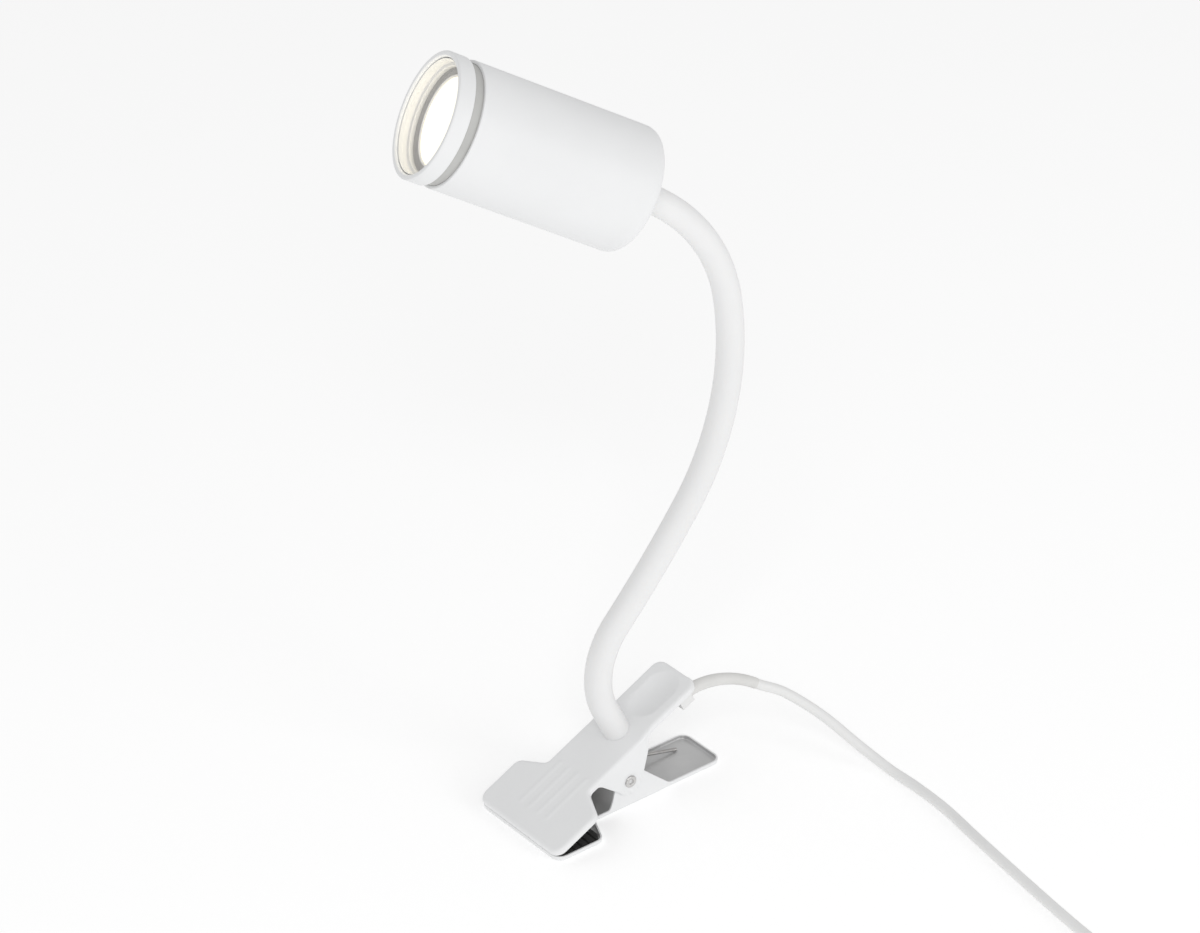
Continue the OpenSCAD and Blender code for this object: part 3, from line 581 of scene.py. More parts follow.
def make_groups():
    """Grain, tone, handling, and edge marks that are wear on some finishes and painted shade on the white
    paints, each built once.
    """
    tree, inside, outside = shader_group(
        "Grain", [("Vector", "Vector", (0, 0, 0)), ("Scale", "Float", 900), ("Pores", "Float", 0.3)],
        [("Height", "Float"), ("Speck", "Float")])
    waves = noise(tree, inside.outputs["Vector"], inside.outputs["Scale"], 2)
    closer = maths(tree, "MULTIPLY", inside.outputs["Scale"], 3.1)
    fine = noise(tree, inside.outputs["Vector"], closer, 4, 0.6)
    cells = tree.nodes.new("ShaderNodeTexVoronoi")
    tree.links.new(inside.outputs["Vector"], cells.inputs["Vector"])
    tree.links.new(maths(tree, "MULTIPLY", inside.outputs["Scale"], 1.7), cells.inputs["Scale"])
    pits = stepped(tree, cells.outputs["Distance"], 0.0, 0.35)
    pores = maths(tree, "MULTIPLY", pits, inside.outputs["Pores"])
    height = maths(tree, "ADD", maths(tree, "ADD", waves, maths(tree, "MULTIPLY", fine, 0.35)), pores)
    tree.links.new(height, outside.inputs["Height"])
    tree.links.new(stepped(tree, fine, 0.55, 0.75), outside.inputs["Speck"])
    GROUPS["grain"] = tree

    tree, inside, outside = shader_group(
        "Tone", [("Vector", "Vector", (0, 0, 0)), ("Scale", "Float", 30), ("Colour", "Color", (1, 1, 1, 1)),
                 ("Second Colour", "Color", (0.9, 0.9, 0.9, 1))], [("Colour", "Color")])
    cloud = noise(tree, inside.outputs["Vector"], inside.outputs["Scale"], 4, 0.55)
    tree.links.new(blended(tree, stepped(tree, cloud, 0.35, 0.7), inside.outputs["Colour"],
                           inside.outputs["Second Colour"]), outside.inputs["Colour"])
    GROUPS["tone"] = tree

    tree, inside, outside = shader_group(
        "Handling", [("Vector", "Vector", (0, 0, 0)), ("Roughness", "Float", 0.4), ("Spread", "Float", 0.1),
                     ("Scratches", "Float", 0.1)], [("Roughness", "Float"), ("Scratch", "Float")])
    smudge = noise(tree, inside.outputs["Vector"], 55, 4, 0.6)
    stretch = tree.nodes.new("ShaderNodeMapping")
    stretch.inputs["Rotation"].default_value = (0.4, 0.9, 0.3)
    stretch.inputs["Scale"].default_value = (60, 1400, 1400)
    tree.links.new(inside.outputs["Vector"], stretch.inputs["Vector"])
    hair = noise(tree, stretch.outputs["Vector"], 1, 2)
    scratch = maths(tree, "MULTIPLY", stepped(tree, hair, 0.66, 0.76), inside.outputs["Scratches"])
    swing = maths(tree, "MULTIPLY", maths(tree, "SUBTRACT", smudge, 0.5), inside.outputs["Spread"])
    tree.links.new(maths(tree, "ADD", maths(tree, "ADD", inside.outputs["Roughness"], swing), scratch),
                   outside.inputs["Roughness"])
    tree.links.new(scratch, outside.inputs["Scratch"])
    GROUPS["handling"] = tree

    # Edge marks from the bevel normal: wear on rubber, metal and plastic, and painted shade along the edges
    # of the white paints.
    tree, inside, outside = shader_group(
        "Edge wear and shade", [("Vector", "Vector", (0, 0, 0)), ("Radius", "Float", 0.0006), ("Amount", "Float", 0.5)],
        [("Mask", "Float")])
    bevel = tree.nodes.new("ShaderNodeBevel")
    bevel.samples = 4
    tree.links.new(inside.outputs["Radius"], bevel.inputs["Radius"])
    geometry = tree.nodes.new("ShaderNodeNewGeometry")
    dot = tree.nodes.new("ShaderNodeVectorMath")
    dot.operation = "DOT_PRODUCT"
    tree.links.new(bevel.outputs["Normal"], dot.inputs[0])
    tree.links.new(geometry.outputs["Normal"], dot.inputs[1])
    edge = stepped(tree, maths(tree, "SUBTRACT", 1.0, dot.outputs["Value"]), 0.02, 0.22)
    broken = stepped(tree, noise(tree, inside.outputs["Vector"], 420, 4, 0.65), 0.42, 0.7)
    rubbed_and_shaded = maths(tree, "MULTIPLY", edge, broken)
    mask = maths(tree, "MULTIPLY", rubbed_and_shaded, inside.outputs["Amount"], clamp=True)
    tree.links.new(mask, outside.inputs["Mask"])
    GROUPS["wear_and_shade"] = tree


def use_group(tree, key, vector, **values):
    node = tree.nodes.new("ShaderNodeGroup")
    node.node_tree = GROUPS[key]
    tree.links.new(vector, node.inputs["Vector"])
    for label, value in values.items():
        node.inputs[label.replace("_", " ")].default_value = value
    return node


def rgba(colour, share=1.0):
    return tuple(min(1, c * share) for c in colour[:3]) + (1,)


def finish(name, colour, roughness, second=0.96, tone=30, spread=0.1, scratches=0.05, grain=900, pores=0.3,
           depth=0.02, wear_and_shade=0.0, worn_and_shaded=(0.5, 0.5, 0.5), wear_and_shade_radius=0.0006, speck=0.0, uv=False, **sockets):
    """One finish: a Principled surface with tone, grain, handling and edge marks of its own amounts; the edge
    marks are wear on some finishes and painted shade along the edges of the white paints.
    """
    material = bpy.data.materials.new(name)
    material.use_nodes = True
    tree = material.node_tree
    shader = tree.nodes["Principled BSDF"]
    places = tree.nodes.new("ShaderNodeTexCoord")
    vector = places.outputs["UV" if uv else "Object"]
    other = second if hasattr(second, "__len__") else [c * second for c in colour]
    toned = use_group(tree, "tone", vector, Scale=tone, Colour=rgba(colour), Second_Colour=rgba(other))
    grained = use_group(tree, "grain", vector, Scale=grain, Pores=pores)
    handled = use_group(tree, "handling", vector, Roughness=roughness, Spread=spread, Scratches=scratches)
    base = toned.outputs["Colour"]
    if speck:
        specks = maths(tree, "MULTIPLY", grained.outputs["Speck"], speck)
        base = blended(tree, specks, base, rgba(colour, 0.55))
    # Edge marks blended into the base colour: wear on some finishes, painted shade along the edges of the
    # white paints.
    if wear_and_shade:
        worn_and_shaded_mask = use_group(tree, "wear_and_shade", vector, Radius=wear_and_shade_radius, Amount=wear_and_shade).outputs["Mask"]
        base = blended(tree, worn_and_shaded_mask, base, rgba(worn_and_shaded))
    tree.links.new(base, shader.inputs["Base Color"])
    tree.links.new(handled.outputs["Roughness"], shader.inputs["Roughness"])
    bump = tree.nodes.new("ShaderNodeBump")
    bump.inputs["Strength"].default_value = 1.0
    bump.inputs["Distance"].default_value = depth * MM
    tree.links.new(grained.outputs["Height"], bump.inputs["Height"])
    tree.links.new(bump.outputs["Normal"], shader.inputs["Normal"])
    for label, value in sockets.items():
        shader.inputs[label.replace("_", " ")].default_value = value
    return material


FINISHES = {}


def make_finishes():
    tints = settings("finish")
    steel, brass = (0.62, 0.61, 0.60), (0.72, 0.55, 0.32)
    FINISHES.update(
        # The darker grey edge colour of the clip paint is painted shade along its edges.
        clip_paint=finish("Clip powder paint", tints.paint, 0.34, 0.975, 24, 0.12, 0.06, 700, 0.15, 0.012,
                          wear_and_shade=0.12, worn_and_shaded=(0.62, 0.62, 0.62), Coat_Weight=0.25, Coat_Roughness=0.25),
        # Painted shade and reflection: the insides of the halves carry the same white paint, and this darker
        # metallic grey stands in for their shade and dark reflections.
        clip_inside=finish("Clip inside painted shade", (0.60, 0.60, 0.60), 0.3, 0.93, 60, 0.15, 0.12, 900, 0.2, 0.01,
                           Metallic=0.35, Coat_Weight=0.3, Coat_Roughness=0.2),
        # The darker grey edge colour of the head paint is painted shade along its edges.
        head_paint=finish("Head powder paint", tints.paint, 0.5, 0.98, 18, 0.08, 0.03, 1100, 0.3, 0.014,
                          wear_and_shade=0.06, worn_and_shaded=(0.66, 0.66, 0.66)),
        sleeve_white=finish("Neck sleeve", tints.sleeve, 0.55, 0.975, 14, 0.1, 0.03, 600, 0.1, 0.012,
                            Subsurface_Weight=0.06, Subsurface_Radius=(0.004, 0.0035, 0.003)),
        cord_white=finish("Cord sheath", tints.cord, 0.42, 0.96, 20, 0.12, 0.05, 800, 0.1, 0.012,
                          Subsurface_Weight=0.05, Subsurface_Radius=(0.003, 0.0027, 0.0024)),
        guard_grey=finish("Cord guard", tints.guard, 0.5, 0.93, 60, 0.1, 0.04, 1400, 0.4, 0.02, speck=0.15),
        pad_rubber=finish("Jaw rubber", tints.rubber, 0.62, 1.9, 120, 0.18, 0.12, 1500, 0.8, 0.05,
                          wear_and_shade=0.5, worn_and_shaded=(0.07, 0.07, 0.07), Specular_IOR_Level=0.4),
        steel=finish("Nickel plate", steel, 0.24, 0.88, 160, 0.2, 0.25, 1800, 0.1, 0.006, Metallic=1.0,
                     wear_and_shade=0.4, worn_and_shaded=(0.78, 0.77, 0.75)),
        spring_steel=finish("Spring wire", (0.5, 0.49, 0.48), 0.3, 0.8, 220, 0.2, 0.4, 2400, 0.1, 0.008,
                            Metallic=1.0),
        core_steel=finish("Core wire", (0.36, 0.36, 0.37), 0.38, 0.8, 180, 0.2, 0.4, 2000, 0.2, 0.01,
                          Metallic=1.0),
        # A grey darker than the head, on the sleeve in the recessed groove behind the front ring.
        groove_grey=finish("Groove sleeve grey", (0.52, 0.52, 0.505), 0.55, 0.93, 60, 0.1, 0.03, 1200, 0.3, 0.015),
        baffle_white=finish("Baffle", (0.80, 0.79, 0.765), 0.5, 0.97, 40, 0.1, 0.03, 1300, 0.4, 0.02),
        ceramic=finish("Socket ceramic", (0.72, 0.70, 0.64), 0.3, 0.95, 80, 0.15, 0.02, 900, 0.6, 0.03,
                       speck=0.1, Coat_Weight=0.4),
        copper_wire=finish("Wire sheath", (0.55, 0.56, 0.58), 0.4, 0.9, 90, 0.1, 0.05, 900, 0.2, 0.01),
        lamp_plastic=finish("Lamp body", (0.60, 0.59, 0.575), 0.32, 0.96, 70, 0.1, 0.05, 1200, 0.2, 0.01,
                            Coat_Weight=0.2),
        plug_white=finish("Moulded plastic", (0.78, 0.78, 0.775), 0.38, 0.97, 30, 0.12, 0.08, 1500, 0.5,
                          0.018, wear_and_shade=0.15, worn_and_shaded=(0.7, 0.7, 0.7)),
        rocker_grey=finish("Rocker plastic", (0.50, 0.50, 0.50), 0.4, 0.95, 40, 0.12, 0.1, 1500, 0.5, 0.018,
                           wear_and_shade=0.2, worn_and_shaded=(0.6, 0.6, 0.6)),
        tie_black=finish("Tie", (0.02, 0.02, 0.02), 0.6, 1.8, 200, 0.15, 0.1, 1800, 0.6, 0.05),
        brass=finish("Plated pins", brass, 0.22, 0.9, 160, 0.15, 0.3, 1600, 0.1, 0.006, Metallic=1.0),
    )
    glow = tuple(tints.glow)
    lens = finish("Lit lens", (0.85, 0.82, 0.74), 0.35, 0.97, 90, 0.1, 0.02, 1500, 0.6, 0.02)
    shader = lens.node_tree.nodes["Principled BSDF"]
    tree = lens.node_tree
    places = tree.nodes.new("ShaderNodeTexCoord")
    cloud = noise(tree, places.outputs["Object"], 140, 3, 0.5)
    tree.links.new(blended(tree, cloud, rgba(glow), rgba(glow, 1.06)), shader.inputs["Emission Color"])
    shader.inputs["Emission Strength"].default_value = 0.62
    FINISHES["lens"] = lens


CAD_FINISHES = {
    "steel": ("pivot_spacer neck_nipple neck_washer neck_nut head_nipple head_washer head_nut socket_bracket"
              " socket_screws switch_screws"),
    "brass": "lamp_pins",
    "plug_white": "switch_base switch_cover",
    "ceramic": "lamp_socket",
    "copper_wire": "head_wires",
}


def on_body(obj, body, slot, *nodes):
    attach(obj, body)
    if nodes:
        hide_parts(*nodes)
    return obj


def between(obj, first, second, start, end, slot, *nodes):
    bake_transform(obj)
    if nodes:
        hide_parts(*nodes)
    return obj


class LAMP_OT_finishes(bpy.types.Operator):
    """Builds the finishes and puts them on the CAD parts that stay as they are"""
    bl_idname = "reading_lamp.finishes"
    bl_label = "Finishes and Hardware"

    def execute(self, context):
        make_groups()
        make_finishes()
        for key, nodes in CAD_FINISHES.items():
            for node in nodes.split():
                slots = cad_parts[node].data.materials
                slots.clear()
                slots.append(FINISHES[key])
        return {"FINISHED"}


# ---------- stage ----------

WORLD_STRENGTH = 0.66
# Soft discs of light, as (name, place in metres, diameter, watts), all aimed at the lamp's lower half
SOFTBOXES = [("Front softbox", (-1.25, -1.5, 1.7), 1.0, 10.5), ("Right softbox", (0.75, -2.3, 0.85), 1.1, 9)]
LIGHT_TARGET = (0, 0, 0.15)
CAMERA_PLACE, CAMERA_TURN = (-0.9372, -1.1632, 1.0476), (59.57, 0, -38.7)
SENSOR_WIDTH, CLIP_END = 36, 50


def area_light(name, place, target, size, power):
    data = bpy.data.lights.new(name, "AREA")
    data.shape = "DISK"
    data.size = size
    data.energy = power
    light = collect(bpy.data.objects.new(name, data))
    light.location = place
    light.rotation_euler = (Vector(target) - Vector(place)).to_track_quat("-Z", "Y").to_euler()
    return light


class LAMP_OT_stage(bpy.types.Operator):
    """Makes the pale floor, the soft lights and the camera"""
    bl_idname = "reading_lamp.stage"
    bl_label = "Stage"

    def execute(self, context):
        scene = context.scene
        scene.view_settings.view_transform = "Standard"
        size = settings("stage").floor / 2
        mesh = bpy.data.meshes.new("floor")
        corners = [(-size, -size, 0), (size, -size, 0), (size, size, 0), (-size, size, 0)]
        mesh.from_pydata(corners, [], [(0, 1, 2, 3)])
        paper = finish("Floor paper", (0.86, 0.86, 0.86), 0.9, 0.995, 3, 0.05, 0.0, 200, 0.0, 0.01,
                       Specular_IOR_Level=0.0, Emission_Color=(1, 1, 1, 1), Emission_Strength=0.3)
        mesh.materials.append(paper)
        floor = collect(bpy.data.objects.new("floor", mesh))

        world = scene.world or bpy.data.worlds.new("Studio")
        scene.world = world
        world.use_nodes = True
        background = world.node_tree.nodes["Background"]
        background.inputs["Color"].default_value = (1.0, 1.0, 1.0, 1)
        background.inputs["Strength"].default_value = WORLD_STRENGTH

        for name, place, size, power in SOFTBOXES:
            area_light(name, place, LIGHT_TARGET, size, power)

        data = bpy.data.cameras.new("camera")
        data.lens = settings("stage").lens
        data.sensor_width = SENSOR_WIDTH
        data.clip_end = CLIP_END
        camera = collect(bpy.data.objects.new("camera", data))
        camera.location = CAMERA_PLACE
        camera.rotation_euler = [math.radians(angle) for angle in CAMERA_TURN]
        scene.camera = camera
        return {"FINISHED"}


# ---------- clip ----------

EAR_RADIUS = 7
EAR_LEAN = (12, 38)  # where the ear's front and back edges meet its round top, in degrees above level
# Where each half's ear leaves the rim in front and behind
LOWER_EAR, UPPER_EAR = (-9.8, 24), (-13.6, 19)
GUARD_NOTCH = (-8.5, 3.6, 4.05)  # side, radius and height of the cut that lets the guard out
DENT_CENTRE, DENT_HALF, DENT_RADIUS = 35, 5, 8.6
RIB_LINES, RIB_CENTRE, RIB_HALF, RIB_RADIUS = (-9, -3, 3, 9), 28, 12, 1.5


def half_outline(width, grip):
    clip = settings("clip")
    reach, jaw = clip.jaw_reach / MM, clip.jaw_width / MM / 2
    jaw_end = reach - clip.jaw_length / MM
    waist, half, handle = jaw_end - clip.shoulder / MM, width / 2, clip.handle_width / MM / 2
    lower = [(-reach, -jaw, 5), (-jaw_end, -jaw, 5), (-waist, -half, 3), (14, -half, 10), (22, -handle, 10),
             (grip, -handle, 5)]
    return lower + [(x, -y, r) for x, y, r in reversed(lower)]


def ear_height(x, front, back):
    """Height of the rim at a distance along the side, where it rises into the ear round the pivot."""
    clip = settings("clip")
    pivot, rim = clip.pivot_height / MM, clip.rim / MM
    lean, fall = (math.radians(a) for a in EAR_LEAN)
    left, right = -EAR_RADIUS * math.cos(lean), EAR_RADIUS * math.cos(fall)
    if front <= x <= left:
        return rim + (x - front) / (left - front) * (pivot + EAR_RADIUS * math.sin(lean) - rim)
    if left < x < right:
        return pivot + math.sqrt(EAR_RADIUS ** 2 - x * x)
    if right <= x <= back:
        return rim + (back - x) / (back - right) * (pivot + EAR_RADIUS * math.sin(fall) - rim)
    return rim


def eased_ear(x, front, back):
    high = ear_height(x, front, back)
    if high > 6:
        return high
    return float(np.mean([ear_height(x + d, front, back) for d in np.linspace(-1.4, 1.4, 9)]))


def rim_height(x, y, width, ear, notch):
    clip = settings("clip")
    height = clip.rim / MM
    if abs(y) > width / 2 - 1.9 and ear[0] - 2 < x < ear[1] + 2:
        height = max(height, eased_ear(x, *ear))
    if notch and x > clip.handle_reach / MM - 1 and abs(y - notch[0]) < notch[1]:
        height = min(height, max(0.75, notch[2] - math.sqrt(notch[1] ** 2 - (y - notch[0]) ** 2)))
    return height


def dent_shape(x, y):
    """Depth of the long thumb dent, with an eased edge."""
    away = max(0.0, abs(x - DENT_CENTRE) - DENT_HALF)
    share = math.hypot(away, y) / DENT_RADIUS
    return settings("clip").dent_depth / MM * (1 - share * share) ** 1.15 if share < 1 else 0.0


def rib_shape(x, y):
    """Height of the four pressed ribs."""
    height = 0.0
    for line in RIB_LINES:
        away = math.hypot(max(0.0, abs(x + RIB_CENTRE) - RIB_HALF), y - line) / RIB_RADIUS
        if away < 1:
            height = max(height, settings("clip").rib_height / MM * (1 - away * away) ** 1.2)
    return height


def clip_half(name, width, grip, matrix, pressed, ear, notch=None):
    """One pressed half: a flat face, a folded rim that rises into the ears, and the sheet's thickness."""
    clip = settings("clip")
    fold, outline = clip.fold / MM, half_outline(width, grip)
    counts = []
    corners = rounded(outline, 6)
    for i, corner in enumerate(corners):
        span = (corners[(i + 1) % len(corners)][0] - corner[-1]).length
        ear_side = abs(corner[-1].y) > width / 2 - 2 and -22 < corner[-1].x < 60 and span > 5
        counts.append(max(1, round(span / (0.35 if ear_side else 1.1))))

    def loop(distance):
        moved = rounded(inset(outline, distance) if distance else outline, 6)
        line = []
        for i, corner in enumerate(moved):
            line += corner
            end, start = moved[(i + 1) % len(moved)][0], corner[-1]
            line += [start.lerp(end, k / counts[i]) for k in range(1, counts[i])]
        return line

    outer = loop(0)
    heights = [rim_height(p.x, p.y, width, ear, notch) for p in outer]
    rows = []
    for share in (0, 0.25, 0.5, 0.75):
        rows.append([(p.x, p.y, h + share * (min(fold, h) - h)) for p, h in zip(outer, heights)])
    for step in range(6):
        swing = math.radians(18 * step)
        moved = loop(fold * (1 - math.cos(swing))) if step else outer
        rows.append([(p.x, p.y, min(fold, h) * (1 - math.sin(swing))) for p, h in zip(moved, heights)])
    points = [p for row in rows for p in row]
    size = len(outer)
    faces = []
    for i in range(len(rows) - 1):
        for k in range(size):
            n = (k + 1) % size
            faces.append([i * size + k, i * size + n, (i + 1) * size + n, (i + 1) * size + k])

    edge = [Vector(p[:2]) for p in rows[-1]]
    inner = [Vector(p) for p in loop(fold + 0.45)]
    grid = []
    for x in np.arange(-clip.jaw_reach / MM, grip, 0.8):
        for y in np.arange(-clip.jaw_width / MM / 2, clip.jaw_width / MM / 2, 0.5 if pressed else 1.6):
            grid.append(Vector((float(x), float(y))))
    ring = np.array(inner)
    grid = [p for p in grid if inside(ring, p)]
    found, _, triangles, _, _, _ = delaunay_2d_cdt(
        edge + grid, [(k, (k + 1) % size) for k in range(size)], [], 1, 1e-5)
    base = len(points) - size
    offset = len(points)
    for p in found[size:]:
        points.append((p.x, p.y, (dent_shape(p.x, p.y) - rib_shape(p.x, p.y)) if pressed else 0.0))
    for triangle in triangles:
        faces.append([base + v if v < size else offset + v - size for v in triangle])
    obj = piece(name, points, faces, FINISHES["clip_paint"], matrix, merge=0)
    bm = bmesh.new()
    bm.from_mesh(obj.data)
    down = matrix.to_3x3() @ Vector((0, 0, -1))
    flat = max(bm.faces, key=lambda f: f.calc_center_median().dot(down))
    if flat.normal.dot(down) < 0:
        bmesh.ops.reverse_faces(bm, faces=bm.faces)
    bm.to_mesh(obj.data)
    bm.free()
    solidify = obj.modifiers.new("Sheet", "SOLIDIFY")
    solidify.thickness = clip.sheet * 0.96
    solidify.offset = -1
    solidify.use_even_offset = False
    solidify.use_quality_normals = True
    # The solidified shell's faces get the darker grey finish, which is painted shade on the insides of the
    # halves.
    solidify.material_offset = 1
    obj.data.materials.append(FINISHES["clip_inside"])
    soft_edges(obj, 0.28, 60, 2)
    obj = applied(obj)
    obj.data.shade_smooth()
    obj.data.set_sharp_from_angle(angle=math.radians(45))
    return obj


def inside(ring, p):
    """Whether a point is inside a closed ring of points."""
    x0, y0 = ring[:, 0], ring[:, 1]
    x1, y1 = np.roll(x0, -1), np.roll(y0, -1)
    crossing = (y0 > p.y) != (y1 > p.y)
    with np.errstate(divide="ignore", invalid="ignore"):
        at = (x1 - x0) * (p.y - y0) / (y1 - y0) + x0
    return bool(np.sum(crossing & (p.x < at)) % 2)


class LAMP_OT_clip(bpy.types.Operator):
    """Presses the two halves of the clip"""
    bl_idname = "reading_lamp.clip"
    bl_label = "Clip Halves"

    def execute(self, context):
        clip = settings("clip")
        grip = clip.handle_reach / MM
        lower_grip = grip + clip.lower_reach / MM
        lower = clip_half("clip_lower", clip.lower_width / MM, lower_grip, Matrix.Identity(4), False,
                          LOWER_EAR)
        on_body(lower, "lower_half", "clip_paint", "lower_clip_half")
        flip = Matrix.Diagonal((1, 1, -1, 1))
        height = clip.pivot_height / MM
        place = upper_frame() @ shift(0, 0, height) @ flip
        upper = clip_half("clip_upper", clip.upper_width / MM, grip, place, True, UPPER_EAR, GUARD_NOTCH)
        on_body(upper, "upper_half", "clip_paint", "upper_clip_half")
        for name, node, body in (("pad_lower", "lower_jaw_pad", "lower_half"),
                                 ("pad_upper", "upper_jaw_pad", "upper_half")):
            on_body(softened(name, [node], FINISHES["pad_rubber"], 0.3), body, "pad_rubber", node)
        return {"FINISHED"}


RIVET_BORE, RIVET_RADIUS, RIVET_HEAD, RIVET_HEAD_HEIGHT = 1.2, 2.2, 3, 0.8
SPRING_WIRE, SPRING_RADIUS, SPRING_TURNS = 1.6, 5.0, 10
LOWER_LEG, UPPER_LEG, SPRING_TOE = 44, 27, 6


class LAMP_OT_pivot(bpy.types.Operator):
    """Turns the hollow rivet and winds the torsion spring"""
    bl_idname = "reading_lamp.pivot"
    bl_label = "Pivot and Spring"

    def execute(self, context):
        clip = settings("clip")
        height = clip.pivot_height / MM
        across = shift(0, 0, height) @ turn(90, "X")
        half = clip.upper_width / MM / 2 + 0.05
        end = half + RIVET_HEAD_HEIGHT
        rivet = lathe("rivet", [
            (RIVET_BORE, -end, 0.35), (RIVET_HEAD, -end, 0.55), (RIVET_HEAD, -half, 0.12),
            (RIVET_RADIUS, -half, 0.05), (RIVET_RADIUS, half, 0.05), (RIVET_HEAD, half, 0.12),
            (RIVET_HEAD, end, 0.55), (RIVET_BORE, end, 0.35)], FINISHES["steel"], across, 56)
        on_body(rivet, "lower_half", "steel", "pivot_rivet")

        wire, radius, turns = SPRING_WIRE, SPRING_RADIUS, SPRING_TURNS
        half = clip.lower_width / MM / 2 - 1 - wire / 2 - 0.6
        seat = height - 1 - wire / 2 - 0.1
        start = -math.atan2(seat, LOWER_LEG) - math.acos(radius / math.hypot(seat, LOWER_LEG))
        end = clip.shut_angle + math.atan2(seat, UPPER_LEG) + math.acos(radius / math.hypot(seat, UPPER_LEG))
        sweep = end - start - math.tau * (turns + 1)
        steps = 36 * turns
        path = [(LOWER_LEG, SPRING_TOE, height - seat)]
        for i in range(steps + 1):
            angle = start + sweep * i / steps
            path.append((radius * math.cos(angle), half - 2 * half * i / steps,
                         height + radius * math.sin(angle)))
        c, s = math.cos(clip.shut_angle), math.sin(clip.shut_angle)
        path.append((UPPER_LEG * c - seat * s, -half, height + UPPER_LEG * s + seat * c))
        spring = grown("spring", swept_wire_tree, path, FINISHES["spring_steel"],
                       {"Wire Radius": wire / 2 * MM, "Sides": 14})
        between(spring, "lower_half", "upper_half", (0, half * MM, height * MM), (0, -half * MM, height * MM),
                "spring_steel", "torsion_spring")
        return {"FINISHED"}


# ---------- neck ----------

class LAMP_OT_neck(bpy.types.Operator):
    """Draws the neck's sleeve across its bending places and the wound steel core inside it"""
    bl_idname = "reading_lamp.neck"
    bl_label = "Neck"

    def execute(self, context):
        neck = settings("neck")
        radius, bore = neck.diameter / MM / 2, (neck.diameter / 2 - neck.wall) / MM
        starts = np.cumsum([0] + [row[0] for row in NECK_ROWS])
        cuts = [0.05] + [(starts[i] + starts[i + 1]) / 2 for i in range(1, 5)] + [starts[-1] - 0.05]
        for i in range(5):
            low, high, joint = cuts[i], cuts[i + 1], starts[i + 1]
            count = max(8, round((high - low) / 1.2))
            distances = [low + (high - low) * k / count for k in range(count + 1)]
            sides, points, faces = 48, [], []
            for wall, row in ((radius, distances), (bore, distances[::-1])):
                for distance in row:
                    matrix = neck_frame(distance) @ turn(-roll_before(distance), "Z")
                    for k in range(sides):
                        angle = math.tau * k / sides
                        points.append(matrix @ Vector((wall * math.cos(angle), wall * math.sin(angle), 0)))
            rings = len(points) // sides
            for r in range(rings):
                for k in range(sides):
                    n, m = (k + 1) % sides, (r + 1) % rings
                    faces.append([r * sides + k, r * sides + n, m * sides + n, m * sides + k])
            sleeve = piece(f"sleeve_{i + 1}", points, faces, FINISHES["sleeve_white"], sharp=50, merge=0)
            centre = neck_frame(joint)
            along = centre.to_3x3() @ Vector((0, 0, 1))
            room = 0.85 * min(joint - low, high - joint, 24)
            place = centre.to_translation()
            nodes = [f"neck_sleeve_{i}"] + (["neck_sleeve_5"] if i == 4 else [])
            start, end = (place - along * room) * MM, (place + along * room) * MM
            between(sleeve, BODIES[i], BODIES[i + 1], start, end, "sleeve_white", *nodes)

        wire, pitch = neck.coil_wire, neck.coil_pitch
        ring = bore * MM - 0.00005 - wire / 2
        for i in range(6):
            low = starts[i] + (8.5 if i == 0 else 1.6)
            high = starts[i + 1] - (8.9 if i == 5 else 1.6)
            path = [neck_frame(low + (high - low) * k / 40).to_translation() for k in range(41)]
            core = grown(f"core_{i}", rings_on_path_tree, path, FINISHES["core_steel"],
                         {"Pitch": pitch, "Ring Radius": ring, "Wire Radius": wire / 2})
            on_body(core, BODIES[i], "steel", f"neck_core_{i}")
        return {"FINISHED"}


def roll_before(distance):
    """Sum of the rolls up to a distance along the neck, so that the sleeve's rings don't twist."""
    total, roll = 0, 0
    for i, row in enumerate(NECK_ROWS):
        roll += row[2]
        total += row[0]
        if distance <= total or i == len(NECK_ROWS) - 1:
            return roll
    return roll


# ---------- head ----------

